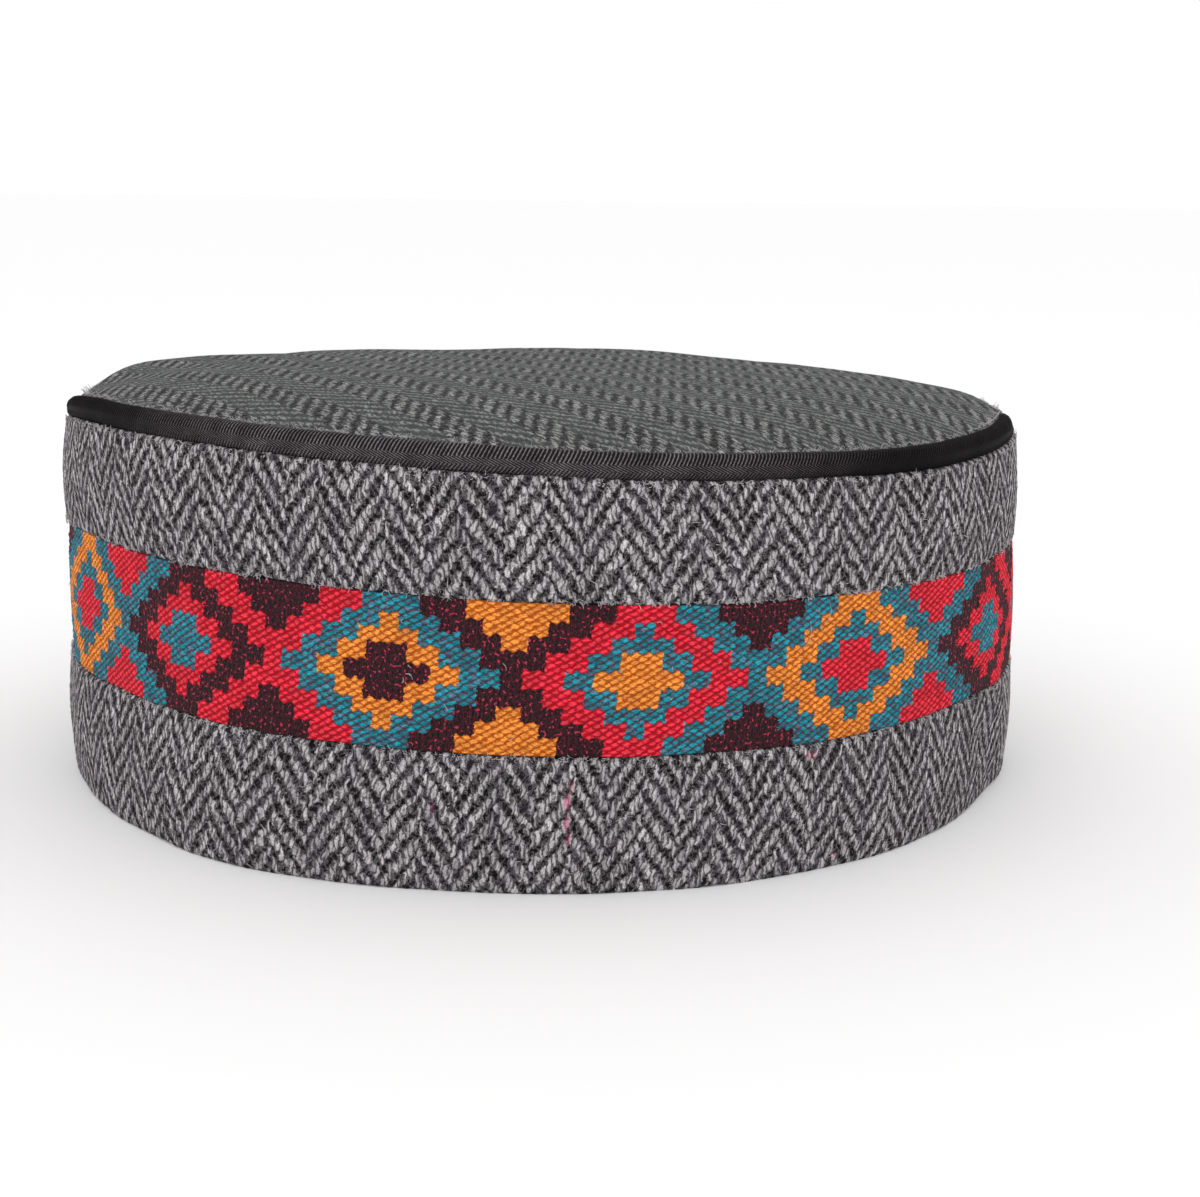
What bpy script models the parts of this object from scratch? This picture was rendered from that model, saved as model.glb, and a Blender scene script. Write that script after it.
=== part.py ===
"""A kullu cap: a round, flat-topped wool cap with a patterned woven band round its wall.

Metres, +Z up, with the hem on Z = 0 and the origin under the middle of the cap's box.
The front faces -Y. The wall is three strips sewn one above the other: plain tweed, a
patterned band and plain tweed again. A folded black binding joins the wall to a round
tweed crown, which puffs up a little inside it. The cap is open underneath and hollow.

Each piece is a section turned round the Z axis, then shaped from a true circle to the
cap's real, slightly uneven form by to_cap_form.
"""

import bmesh
import bpy
from math import atan2, cos, exp, hypot, pi, radians, sin, tau

# The wall, from the surface up
WALL_RADIUS = 0.0949  # outer face at the hem, as a mean over all directions
CROWN_LEAN = 0.0007  # how much nearer the middle the wall is at the crown
LOWER_STRIP_HEIGHT = 0.0229
BAND_HEIGHT = 0.0245
UPPER_STRIP_HEIGHT = 0.0199
TWEED_THICKNESS = 0.0024
BAND_THICKNESS = 0.0016
BAND_RECESS = 0.0005  # the band's face lies this far behind the tweed's
STRIP_BULGE = 0.0006  # how far a tweed strip swells between its seams
TURNED_EDGE = 0.0006  # the bevel along a strip's outer edges, where the cloth is turned

# The crown and its binding
BINDING_HEIGHT = 0.0048
BINDING_THICKNESS = 0.0030
BINDING_SQUARENESS = 3.0  # 2 is an ellipse, more is nearer a box
CROWN_THICKNESS = 0.0020
CROWN_PUFF = 0.0057  # how far the crown's middle stands above its edge
CROWN_EDGE_DROP = 0.0009  # how far the crown's edge lies below the binding's top
PUFF_POWER = 5  # higher keeps the crown flatter in the middle and steeper at its edge

SEAM_GAP = 0.0003  # between pieces that are sewn together

# How the plan leaves a true circle at the front and sides: each row is so many waves round
# the cap, with its height as a share of the radius and the direction of one crest from +X.
PLAN_WAVES = (
    {"waves": 2, "share": 0.0062, "crest_deg": 53.0},
    {"waves": 3, "share": 0.0124, "crest_deg": 39.3},
)
# The waves are whole in front of one line across the plan and gone behind another, both as
# shares of the radius in front of (-) or behind (+) the middle.
WAVES_WHOLE = -0.55
WAVES_GONE = 0.35
# How the crown's rim rises and falls, as a share of the height above the hem.
RIM_WAVES = (
    {"waves": 1, "share": 0.0358, "crest_deg": -137.4},
    {"waves": 2, "share": 0.0145, "crest_deg": 41.4},
)
# Where the rim is pulled down (-) or up (+) over a short stretch: the middle's direction, how
# far it spreads each way, and the change as a share of the height there.
RIM_PULLS = (
    {"at_deg": 183.0, "spread_deg": 17.0, "share": -0.033},
    {"at_deg": -12.0, "spread_deg": 18.0, "share": 0.018},
)
# Soft dents pressed into the wall: the middle's direction and its share of the wall's
# height, how far it spreads each way, and its depth as a share of the wall's radius.
WALL_DENTS = (
    {"at_deg": -25.0, "at_share": 0.19, "spread_deg": 6.5, "spread_share": 0.07, "depth": 0.009},
)

# How finely the forms are divided
DIRECTIONS = 80
FACE_STEPS = 4
BINDING_STEPS = 12
CROWN_SHARES = (0.35, 0.62, 0.80, 0.90, 0.96, 1.0)

# Heights and radii that follow from the sizes above
BAND_LOW = LOWER_STRIP_HEIGHT + SEAM_GAP
UPPER_LOW = BAND_LOW + BAND_HEIGHT + SEAM_GAP
BINDING_LOW = UPPER_LOW + UPPER_STRIP_HEIGHT + SEAM_GAP
RIM_HEIGHT = BINDING_LOW + BINDING_HEIGHT
RIM_RADIUS = WALL_RADIUS - CROWN_LEAN
CROWN_RADIUS = RIM_RADIUS - BINDING_THICKNESS - SEAM_GAP
CROWN_EDGE_HEIGHT = RIM_HEIGHT - CROWN_EDGE_DROP


def wave_sum(rows, direction, fade):
    """The rows' waves at a direction, each weakened towards the cap's axis as fade to its power."""
    return sum(
        row["share"] * fade ** row["waves"] * cos(row["waves"] * (direction - radians(row["crest_deg"])))
        for row in rows
    )


def outline(direction):
    """The plan's radius at a direction, as a share of the true circle's."""
    behind = (WAVES_GONE - sin(direction)) / (WAVES_GONE - WAVES_WHOLE)
    kept = min(max(behind, 0.0), 1.0)
    return 1.0 + kept * kept * (3 - 2 * kept) * wave_sum(PLAN_WAVES, direction, 1.0)


def spreads_away(direction, row):
    """How far a direction is from a row's own, counted in its spreads."""
    turn = (direction - radians(row["at_deg"]) + pi) % tau - pi
    return turn / radians(row["spread_deg"])


def dent_depth(direction, height):
    """How far the wall's dents press in at a direction and a height."""
    depth = 0.0
    for dent in WALL_DENTS:
        up = (height / BINDING_LOW - dent["at_share"]) / dent["spread_share"]
        depth += dent["depth"] * WALL_RADIUS * exp(-(spreads_away(direction, dent) ** 2) - up**2)
    return depth


def rim_rise(direction, height, fade):
    """How far a point is lifted by the rim's waves and pulls, which grow towards the rim."""
    pulled = sum(row["share"] * exp(-(spreads_away(direction, row) ** 2)) for row in RIM_PULLS)
    near_rim = (height / RIM_HEIGHT) ** 2 * fade**PUFF_POWER
    return height * (wave_sum(RIM_WAVES, direction, fade) + near_rim * pulled)


def plan_middle():
    """The middle of the outline's box, which the origin stands under."""
    directions = [tau * step / DIRECTIONS for step in range(DIRECTIONS)]
    widest = WALL_RADIUS + STRIP_BULGE
    across = [widest * outline(direction) * cos(direction) for direction in directions]
    along = [widest * outline(direction) * sin(direction) for direction in directions]
    return (min(across) + max(across)) / 2, (min(along) + max(along)) / 2


MIDDLE_X, MIDDLE_Y = plan_middle()


def to_cap_form(point):
    """Carries a point of a turned piece from the true circle to the cap's real form."""
    radius = hypot(point.x, point.y)
    direction = atan2(point.y, point.x)
    fade = min(radius / RIM_RADIUS, 1.0)
    rise = rim_rise(direction, point.z, fade)
    dented = radius - dent_depth(direction, point.z) * fade**PUFF_POWER
    shaped = dented * outline(direction)
    point.x = shaped * cos(direction) - MIDDLE_X
    point.y = shaped * sin(direction) - MIDDLE_Y
    point.z += rise


def wall_radius(height):
    """The outer face of the straight wall at a height, before any bulge."""
    return WALL_RADIUS - CROWN_LEAN * height / RIM_HEIGHT


def strip_section(low, height, inset, thickness, bulge):
    """A strip of the wall: a bulged outer face with bevelled edges, and a straight inner face."""
    outer = []
    for step in range(FACE_STEPS + 1):
        share = step / FACE_STEPS
        level = low + TURNED_EDGE + share * (height - 2 * TURNED_EDGE)
        outer.append((wall_radius(level) - inset + bulge * sin(pi * share), level))
    top = low + height
    foot_radius = wall_radius(low) - inset
    head_radius = wall_radius(top) - inset
    return [
        (foot_radius - thickness, low),
        (foot_radius - TURNED_EDGE, low),
        *outer,
        (head_radius - TURNED_EDGE, top),
        (head_radius - thickness, top),
    ]


def binding_section():
    """The folded binding: a rounded box whose corners follow a superellipse."""
    middle_radius = RIM_RADIUS - BINDING_THICKNESS / 2
    middle_height = BINDING_LOW + BINDING_HEIGHT / 2
    power = 2 / BINDING_SQUARENESS
    section = []
    for step in range(BINDING_STEPS):
        angle = tau * step / BINDING_STEPS
        out = abs(cos(angle)) ** power * (1 if cos(angle) >= 0 else -1)
        up = abs(sin(angle)) ** power * (1 if sin(angle) >= 0 else -1)
        section.append((middle_radius + BINDING_THICKNESS / 2 * out, middle_height + BINDING_HEIGHT / 2 * up))
    return section


def crown_section():
    """The crown from its middle, out along the top, round the edge and back underneath."""
    top = [(0.0, CROWN_EDGE_HEIGHT + CROWN_PUFF)]
    for share in CROWN_SHARES:
        top.append((share * CROWN_RADIUS, CROWN_EDGE_HEIGHT + CROWN_PUFF * (1 - share**PUFF_POWER)))
    underside = [(radius, height - CROWN_THICKNESS) for radius, height in reversed(top)]
    return top + underside


def turned_piece(name, section, closed, colour, roughness):
    """A piece whose section, points of radius and height, is turned round Z and then shaped."""
    form = bmesh.new()
    points = [form.verts.new((radius, 0.0, height)) for radius, height in section]
    edges = [form.edges.new(pair) for pair in zip(points, points[1:])]
    if closed:
        edges.append(form.edges.new((points[-1], points[0])))
    bmesh.ops.spin(
        form,
        geom=points + edges,
        cent=(0, 0, 0),
        axis=(0, 0, 1),
        angle=tau,
        steps=DIRECTIONS,
        use_merge=True,
    )
    bmesh.ops.remove_doubles(form, verts=form.verts, dist=1e-6)
    for vertex in form.verts:
        to_cap_form(vertex.co)
    bmesh.ops.triangulate(form, faces=form.faces)
    bmesh.ops.recalc_face_normals(form, faces=form.faces)
    mesh = bpy.data.meshes.new(name)
    form.to_mesh(mesh)
    form.free()
    mesh.shade_smooth()
    mesh.set_sharp_from_angle(angle=radians(40))
    mesh.materials.append(cloth(name, colour, roughness))
    piece = bpy.data.objects.new(name, mesh)
    bpy.context.collection.objects.link(piece)
    return piece


def cloth(name, colour, roughness):
    """A plain cloth material of one colour."""
    material = bpy.data.materials.new(name + "_cloth")
    material.use_nodes = True
    shader = material.node_tree.nodes["Principled BSDF"]
    shader.inputs["Base Color"].default_value = (*colour, 1.0)
    shader.inputs["Roughness"].default_value = roughness
    shader.inputs["Metallic"].default_value = 0.0
    return material


def make_wall():
    """The three strips of the wall: tweed, the patterned band, and tweed."""
    tweed = (0.13, 0.125, 0.125)
    lower = strip_section(0.0, LOWER_STRIP_HEIGHT, 0.0, TWEED_THICKNESS, STRIP_BULGE)
    band = strip_section(BAND_LOW, BAND_HEIGHT, BAND_RECESS, BAND_THICKNESS, 0.0)
    upper = strip_section(UPPER_LOW, UPPER_STRIP_HEIGHT, 0.0, TWEED_THICKNESS, STRIP_BULGE)
    turned_piece("lower_strip", lower, True, tweed, 0.9)
    turned_piece("patterned_band", band, True, (0.42, 0.05, 0.06), 0.85)
    turned_piece("upper_strip", upper, True, tweed, 0.9)


def make_crown():
    """The binding round the top edge and the crown that it holds."""
    turned_piece("crown_binding", binding_section(), True, (0.013, 0.011, 0.013), 0.6)
    turned_piece("crown_top", crown_section(), False, (0.12, 0.12, 0.12), 0.9)


for old in list(bpy.data.objects):
    bpy.data.objects.remove(old, do_unlink=True)
make_wall()
make_crown()
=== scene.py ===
"""The looks of a kullu cap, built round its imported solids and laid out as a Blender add-on.

The cap is five sewn pieces: two strips of herringbone tweed with a patterned woven band
between them, a folded black binding, and a round tweed crown. Each is a surface worked out
with numpy in the cap's own frame: metres, +Z up, hem on Z = 0, front facing -Y. The pieces
repeat the named forms of the solids that they stand for, and add thread, stitch and rib.

A cloth's own map, CLOTH_MAP, counts its threads, so the mesh and the nodes draw the same
weave. BAKE_MAP lays each surface out flat and without overlaps.
"""

from math import cos, pi, radians, sin, tau

import bpy
import numpy as np
from bpy.props import FloatProperty, FloatVectorProperty, IntProperty, PointerProperty
from mathutils import Matrix, Vector


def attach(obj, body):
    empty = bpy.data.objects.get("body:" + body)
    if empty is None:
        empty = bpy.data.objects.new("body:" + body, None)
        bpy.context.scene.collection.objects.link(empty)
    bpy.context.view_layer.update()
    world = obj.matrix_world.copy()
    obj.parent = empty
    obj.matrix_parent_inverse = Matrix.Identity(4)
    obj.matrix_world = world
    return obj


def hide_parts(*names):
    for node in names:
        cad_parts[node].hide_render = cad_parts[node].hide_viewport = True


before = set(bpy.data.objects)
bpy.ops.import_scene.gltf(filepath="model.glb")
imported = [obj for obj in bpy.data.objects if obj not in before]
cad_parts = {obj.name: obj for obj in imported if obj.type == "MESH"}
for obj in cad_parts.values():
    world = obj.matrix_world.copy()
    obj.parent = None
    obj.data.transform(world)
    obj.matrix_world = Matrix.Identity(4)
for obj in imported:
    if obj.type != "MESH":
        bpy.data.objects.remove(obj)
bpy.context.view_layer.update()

bl_info = {
    "name": "Kullu Cap",
    "version": (1, 0, 0),
    "blender": (4, 5, 0),
    "location": "View3D > Sidebar > Kullu Cap",
    "description": "Builds a tweed cap with a patterned woven band round its wall",
    "category": "Object",
}

MM = 0.001
CLOTH_MAP = "Cloth"
BAKE_MAP = "OFBake"

# The form of the solids, in metres: the wall from the surface up
WALL_RADIUS = 0.0949
CROWN_LEAN = 0.0007
LOWER_STRIP_HEIGHT = 0.0229
BAND_HEIGHT = 0.0245
UPPER_STRIP_HEIGHT = 0.0199
TWEED_THICKNESS = 0.0024
BAND_THICKNESS = 0.0016
STRIP_BULGE = 0.0006
SEAM_GAP = 0.0003
# How far the band's face lies behind the tweed's: its stitches stand out 0.2 mm past its solid
BAND_RECESS = 0.0003
# How far the band reaches into both its seams, and the upper strip into the one above
BAND_TUCK = 0.25 * MM
UPPER_TUCK = 0.25 * MM
# How round the edges of a strip's section are
TWEED_OUTER_ROUND = 0.85 * MM
TWEED_INNER_ROUND = 0.3 * MM
BAND_ROUND = 0.25 * MM
BAND_LOW = LOWER_STRIP_HEIGHT + SEAM_GAP
UPPER_LOW = BAND_LOW + BAND_HEIGHT + SEAM_GAP
BINDING_LOW = UPPER_LOW + UPPER_STRIP_HEIGHT + SEAM_GAP

# The crown and its binding
BINDING_HEIGHT = 0.0048
BINDING_THICKNESS = 0.0030
BINDING_SQUARENESS = 3.0
CROWN_THICKNESS = 0.0020
CROWN_PUFF = 0.0057
CROWN_EDGE_DROP = 0.0009
PUFF_POWER = 5
# The crown's cloth stands a little fuller than the solid, and its edge is tucked this far on
CROWN_FULLNESS = 1.09
CROWN_TUCK = 0.0005
TAPE_THICKNESS = 0.0004
RIM_HEIGHT = BINDING_LOW + BINDING_HEIGHT
RIM_RADIUS = WALL_RADIUS - CROWN_LEAN
CROWN_RADIUS = RIM_RADIUS - BINDING_THICKNESS - SEAM_GAP
CROWN_EDGE_HEIGHT = RIM_HEIGHT - CROWN_EDGE_DROP
# Places round the wall are measured at this height
ARC_HEIGHT = 0.038

# The solids are divided into this many directions, and the plan's box is measured on them
SOLID_DIRECTIONS = 80
# How the plan and the rim leave a true circle: waves, share of the size, direction of a crest
PLAN_WAVES = ((2, 0.0062, 53.0), (3, 0.0124, 39.3))
# The plan's waves are whole in front of one line and gone behind another, as shares of the radius
WAVES_WHOLE = -0.55
WAVES_GONE = 0.35
RIM_WAVES = ((1, 0.0358, -137.4), (2, 0.0145, 41.4))
# Direction, spread and share of the height of each pull on the rim
RIM_PULLS = ((183.0, 17.0, -0.033), (-12.0, 18.0, 0.018))
# Direction, share of the wall's height, both spreads, and depth as a share of the radius,
# which is below 0 where the wall is fuller
WALL_DENTS = (
    (-25.0, 0.19, 6.5, 0.07, 0.009),
    (236.0, 0.0, 13.0, 0.30, -0.028),
    (-4.0, 0.47, 24.0, 0.22, -0.010),
    (-19.0, 0.0, 11.0, 0.14, 0.011),
    (196.0, 0.0, 13.0, 0.20, 0.008),
)
# Where the crown stands higher or lower just inside its edge: direction, spread, how close to the
# edge as a power, and height
CROWN_SHOULDERS = (
    (174.0, 10.0, 12, 0.0020),
    (166.0, 12.0, 4, 0.0009),
    (150.0, 14.0, 4, -0.0004),
    (134.0, 14.0, 4, 0.0010),
    (116.0, 16.0, 4, -0.0012),
    (96.0, 18.0, 4, 0.0007),
    (76.0, 16.0, 4, 0.0012),
    (56.0, 16.0, 4, 0.0002),
    (38.0, 14.0, 4, -0.0003),
    (22.0, 12.0, 4, 0.0003),
    (8.0, 9.0, 12, 0.0009),
)
EDGE_POWER = 14
# How much lower the binding is folded in front and behind, and over a stretch at the left end:
# its direction, spread and depth
FRONT_FOLD = 0.0007
BACK_FOLD = 0.0016
END_FOLD = (186.0, 12.0, 0.0008)
# How far the binding leans in at the right end: direction, spread, distance at its top
END_LEAN = (4.0, 16.0, 0.0032)
# The soft unevenness of sewn cloth: waves round, waves up the wall, turn of phase, height
CLOTH_WAVES = (
    (7, 0.6, 0.4, 0.00022),
    (11, 1.1, 2.1, 0.00018),
    (19, 1.7, 4.0, 0.00012),
    (31, 2.3, 1.2, 0.00007),
)
# How far a cloth's face is lumpy and its edge wavers, in metres
TWEED_LUMPS = 0.05 * MM
TWEED_WAVER = 0.16 * MM
BAND_LUMPS = 0.04 * MM
BINDING_LUMPS = 0.05 * MM
BINDING_WAVER = 0.12 * MM
CROWN_LUMPS = 0.30 * MM
CROWN_LUMP_SIZE = 18 * MM
# Each piece draws its unevenness from its own seeds, counting on from these
LOWER_SEED = 11
UPPER_SEED = 21
BAND_SEED = 31
BINDING_SEED = 41
CROWN_SEED = 51
WOOL_SEED = 61
NOISE_PLACES = 257

# Herringbone: ends are the light threads up the wall, picks the dark ones round it
COLUMN_ENDS = 8
REPEAT_ENDS = 2 * COLUMN_ENDS
# How deep a tweed's bump is, and the crown's haze of fibres, in the words of tweed_material
WALL_RELIEF = 0.00012
CROWN_RELIEF = 0.0002
CROWN_VEIL = 0.12
CROWN_NAP = 0.30
LOWER_PICK = 1.06 * MM
UPPER_PICK = 1.04 * MM
# Where the chevrons of each strip peak, in millimetres round the wall from its front, and the
# millimetres from end to end where no peak is seen
LOWER_PEAKS = (
    *(-82, -69.7, -57.2, -43.7, -30.3, -17.8, -5.4, 6.9),
    *(18.6, 31.3, 43.8, 55.9, 68.1, 80.3, 92.5),
)
UPPER_PEAKS = (
    *(-86.3, -73.6, -60.6, -47.7, -35.4, -23.6, -10.9),
    *(2.8, 14.8, 28.0, 41.7, 55.3, 68.5, 82.9),
)
LOWER_PITCH = 0.78
UPPER_PITCH = 0.8125
# How far each strip's threads lean to the right as they rise
LOWER_LEAN = 0.07
BAND_LEAN = 0.09
UPPER_LEAN = -0.04
# How far a thread wanders, in millimetres round the wall and in metres up it
WANDER_ROUND = 0.12
WANDER_UP = 0.13 * MM
# Pink dye on the lower strip: ends and picks at its middle, both half widths, and its strength
PINK_STAINS = (
    (119.1, 15.3, 1.0, 1.9, 0.8),
    (119.1, 12.0, 0.95, 1.6, 0.7),
    (119.9, 9.5, 0.8, 1.4, 0.65),
    (119.9, 17.7, 1.0, 1.2, 0.4),
    (90.5, 13.7, 0.6, 1.2, 0.5),
    (175.2, 20.3, 2.4, 0.9, 0.5),
    (184.5, 2.8, 1.2, 1.0, 0.35),
)

# The woven band: its stitches lie in brick fashion on warps STITCH apart, in STITCH_ROWS rows,
# and its mesh has a row of faces every BAND_ROW
STITCH = 1.035 * MM
STITCH_ROWS = 40
BAND_ROW = 0.314 * MM
MOTIF_STITCHES = 40
# Where motifs A, B, C, D are centred, as stitches from motif A and millimetres round the wall
MOTIF_PLACES = ((-80, -105.0), (-40, -66.1), (0, -24.0), (40, 18.3), (80, 59.5), (120, 105.2))
# Half widths in stitches at the middle row of each nested diamond, and what each row takes off
OUTER_HALF = 18.3
MIDDLE_HALF = 11.8
CENTRE_HALF = 7.2
STEP_STITCHES = 3.4
CENTRE_STEP = 3.8
# The half diamonds on both edges, widest in the outermost row
EDGE_HALF = 8.0
EDGE_STEP = 3.0
MOTIF_ROWS = 4
MIDDLE_ROW_HALF = 2.9
ROW_STITCHES = 4.3
# Which yarn each motif and each gap is woven in, in the order A, B, C, D and AB, BC, CD, DA
OUTER_YARNS = ("teal", "red", "orange", "black")
MIDDLE_YARNS = ("orange", "teal", "teal", "red")
CENTRE_YARNS = ("black", "orange", "red", "teal")
GAP_YARNS = ("black", "teal", "teal", "red")
EDGE_YARNS = ("orange", "black", "red", "black")
# How fast a stitch falls away towards its ends and towards its sides
END_FALL = 0.8
SIDE_FALL = 1.15

# The binding's ribs, how far they lean as they rise, the direction round its section where its
# two edges meet with a small gap, and how much taller it is than its solid, up and down
RIB = 0.69 * MM
RIB_LEAN = 0.45
TAPE_SEAM = radians(222)
TAPE_GAP = 0.06
TAPE_SWELL = 0.15 * MM

# Loose wool: share of all fibres, the lowest and highest start, the way it heads and how far
# that varies in degrees, and the longest fibre. The first row's starts are inward of the
# crown's edge and the others' are heights on the wall.
WOOL_PLACES = (
    (0.23, 0.0001, 0.0010, 60.0, 60.0, 0.0011),
    (0.22, BINDING_LOW - 0.0012, BINDING_LOW - 0.0003, 60.0, 60.0, 0.0010),
    (0.22, UPPER_LOW + 0.0001, UPPER_LOW + 0.0008, -70.0, 60.0, 0.0011),
    (0.18, LOWER_STRIP_HEIGHT - 0.0008, LOWER_STRIP_HEIGHT, 70.0, 60.0, 0.0010),
    (0.07, 0.001, LOWER_STRIP_HEIGHT - 0.001, 70.0, 60.0, 0.0018),
    (0.07, UPPER_LOW + 0.001, BINDING_LOW - 0.001, 70.0, 60.0, 0.0018),
    (0.01, BAND_LOW + 0.002, UPPER_LOW - 0.002, 60.0, 60.0, 0.0016),
)
# A few long hairs, in the columns that wool_starts makes
LONG_HAIRS = (
    (48.0, 0.0395, 0.9, 0.0050, 0.0004, 0.9),
    (52.5, 0.0432, 0.8, 0.0042, 0.0004, 1.2),
    (30.0, 0.0560, 0.3, 0.0040, 0.0005, 1.6),
    (-12.0, 0.0550, 1.2, 0.0036, 0.0005, -1.4),
    (-58.0, 0.0500, 0.6, 0.0040, 0.0005, 1.5),
    (14.0, 0.0120, 1.0, 0.0036, 0.0005, -1.2),
)
WOOL_SEGMENTS = 3
FIBRE_SIDES = 3

# The crown's cloth lies on the bias. Its rings are closer together near its edge.
CROWN_CLOTH_TURN = radians(36)
CROWN_END = 0.78 * MM
CROWN_PICK = 1.0 * MM
RING_CROWDING = 0.93
UNDER_RINGS = 20

# Layouts for baking: the margin, the room round all rows and from row to row, and the width
# kept for hidden faces. The crown has a big disc for its top and a small one for its underside.
MAP_MARGIN = 0.008
MAP_ROOM = 1.02
ROW_ROOM = 1.03
HIDDEN_WIDTH = 0.3
TOP_DISC = (0.43, 0.42)
UNDER_DISC = (0.93, 0.055)

# The stage
FRONT_LIGHT_PLACE = (-0.25, -1.1, 0.75)
TOP_LIGHT_PLACE = (0.1, 0.1, 1.3)
LIGHT_TARGET = (0.0, 0.0, 0.04)
LIGHT_SIZE = 0.9
SENSOR_WIDTH = 36.0
NEAREST_SEEN = 0.01


def from_screen(red, green, blue):
    """A colour as it looks on a screen, 0 to 255 each, as the linear colour that nodes take."""
    shares = np.array((red, green, blue)) / 255.0
    linear = np.where(shares <= 0.04045, shares / 12.92, ((shares + 0.055) / 1.055) ** 2.4)
    return tuple(float(part) for part in linear)


def colour_property(name, description, screen_colour):
    """A colour that a user can change, given as it looks on a screen."""
    return FloatVectorProperty(
        name=name,
        description=description,
        default=from_screen(*screen_colour),
        subtype="COLOR",
        size=3,
        min=0.0,
        max=1.0,
    )


def number_property(name, description, value, **kind):
    """A number that a user can change."""
    return FloatProperty(name=name, description=description, default=value, **kind)


def length_property(name, description, metres):
    """A length that a user can change."""
    return number_property(name, description, metres, min=0.0, unit="LENGTH", precision=5)


def count_property(name, description, count, least, most):
    """A whole number that a user can change."""
    return IntProperty(name=name, description=description, default=count, min=least, max=most)


# The cap's form


def eased(share):
    """A share from 0 to 1 that starts and ends gently: 3 times its square less twice its cube."""
    return share * share * (3 - 2 * share)


def wave_sum(rows, direction, fade):
    """Adds the rows' cosine waves at each direction, weakened towards the axis by powers of fade."""
    return sum(
        share * fade**waves * np.cos(waves * (direction - radians(crest)))
        for waves, share, crest in rows
    )


def outline(direction):
    """The plan's radius as a share of a circle's: 1 plus the plan waves, faded out behind."""
    kept = np.clip((WAVES_GONE - np.sin(direction)) / (WAVES_GONE - WAVES_WHOLE), 0.0, 1.0)
    return 1.0 + eased(kept) * wave_sum(PLAN_WAVES, direction, 1.0)


def spreads_away(direction, at, spread):
    """How many spreads each direction lies from another, the short way round."""
    return (np.mod(direction - radians(at) + pi, tau) - pi) / radians(spread)


def nearness(direction, at, spread):
    """A bell curve round a direction: 1 there, and 1/e one spread away."""
    return np.exp(-(spreads_away(direction, at, spread) ** 2))


def plan_middle():
    """The middle of the widest outline's box, which the origin stands under."""
    direction = np.arange(SOLID_DIRECTIONS) * tau / SOLID_DIRECTIONS
    widest = (WALL_RADIUS + STRIP_BULGE) * outline(direction)
    across = widest * np.cos(direction)
    along = widest * np.sin(direction)
    return (across.min() + across.max()) / 2, (along.min() + along.max()) / 2


MIDDLE = plan_middle()


def cap_form(direction, radius, height):
    """Places on the real cap for turned places: the dents pressed in, the plan waves scaling the
    radius, and the rim waves and pulls lifting each height, more so nearer the rim."""
    fade = np.minimum(radius / RIM_RADIUS, 1.0)
    pulled = sum(share * nearness(direction, at, spread) for at, spread, share in RIM_PULLS)
    near_rim = (height / RIM_HEIGHT) ** 2 * fade**PUFF_POWER
    rise = height * (wave_sum(RIM_WAVES, direction, fade) + near_rim * pulled)
    dent = 0.0
    for at, share, spread, spread_up, depth in WALL_DENTS:
        up = (height / BINDING_LOW - share) / spread_up
        pressed = nearness(direction, at, spread) * np.exp(-(up**2))
        dent = dent + depth * WALL_RADIUS * pressed
    soft = sum(
        tall * np.cos(waves * direction + up * tau * height / RIM_HEIGHT + phase)
        for waves, up, phase, tall in CLOTH_WAVES
    )
    shaped = (radius - (dent - soft) * fade**PUFF_POWER) * outline(direction)
    x = shaped * np.cos(direction) - MIDDLE[0]
    y = shaped * np.sin(direction) - MIDDLE[1]
    return np.stack((x, y, height + rise), axis=-1)


def wall_radius(height):
    """The outer face of the straight wall, leaning in towards the crown."""
    return WALL_RADIUS - CROWN_LEAN * height / RIM_HEIGHT


def arc_directions():
    """Millimetres round the wall from its front, and the direction of each, once round."""
    direction = np.linspace(-pi / 2 - pi, -pi / 2 + pi, 4001)
    radius = wall_radius(ARC_HEIGHT) * outline(direction)
    steps = np.hypot(np.diff(radius * np.cos(direction)), np.diff(radius * np.sin(direction)))
    arc = np.concatenate(((0.0,), np.cumsum(steps))) / MM
    return arc - arc[len(arc) // 2], direction


ARCS, DIRECTIONS = arc_directions()
ROUND_ONCE = ARCS[-1] - ARCS[0]


def direction_at(arc):
    """The direction of each place given as millimetres round the wall, past the back too."""
    turns = np.floor((arc - ARCS[0]) / ROUND_ONCE)
    return np.interp(arc - turns * ROUND_ONCE, ARCS, DIRECTIONS) + turns * tau


def smooth_noise(across, up, seed):
    """Value noise from -1 to 1: seeded numbers on whole places, joined by eased curves."""
    table = np.random.default_rng(seed).uniform(-1, 1, (NOISE_PLACES, NOISE_PLACES))
    low_x, low_y = np.floor(across).astype(int), np.floor(up).astype(int)
    part_x, part_y = eased(across - low_x), eased(up - low_y)
    left, right = np.mod(low_x, NOISE_PLACES), np.mod(low_x + 1, NOISE_PLACES)
    bottom, top = np.mod(low_y, NOISE_PLACES), np.mod(low_y + 1, NOISE_PLACES)
    under = table[left, bottom] * (1 - part_x) + table[right, bottom] * part_x
    over = table[left, top] * (1 - part_x) + table[right, top] * part_x
    return under * (1 - part_y) + over * part_y


# Sections


def path_reach(path):
    """The distance along a path at each of its points."""
    return np.concatenate(((0.0,), np.cumsum(np.hypot(*np.diff(path, axis=0).T))))


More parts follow.
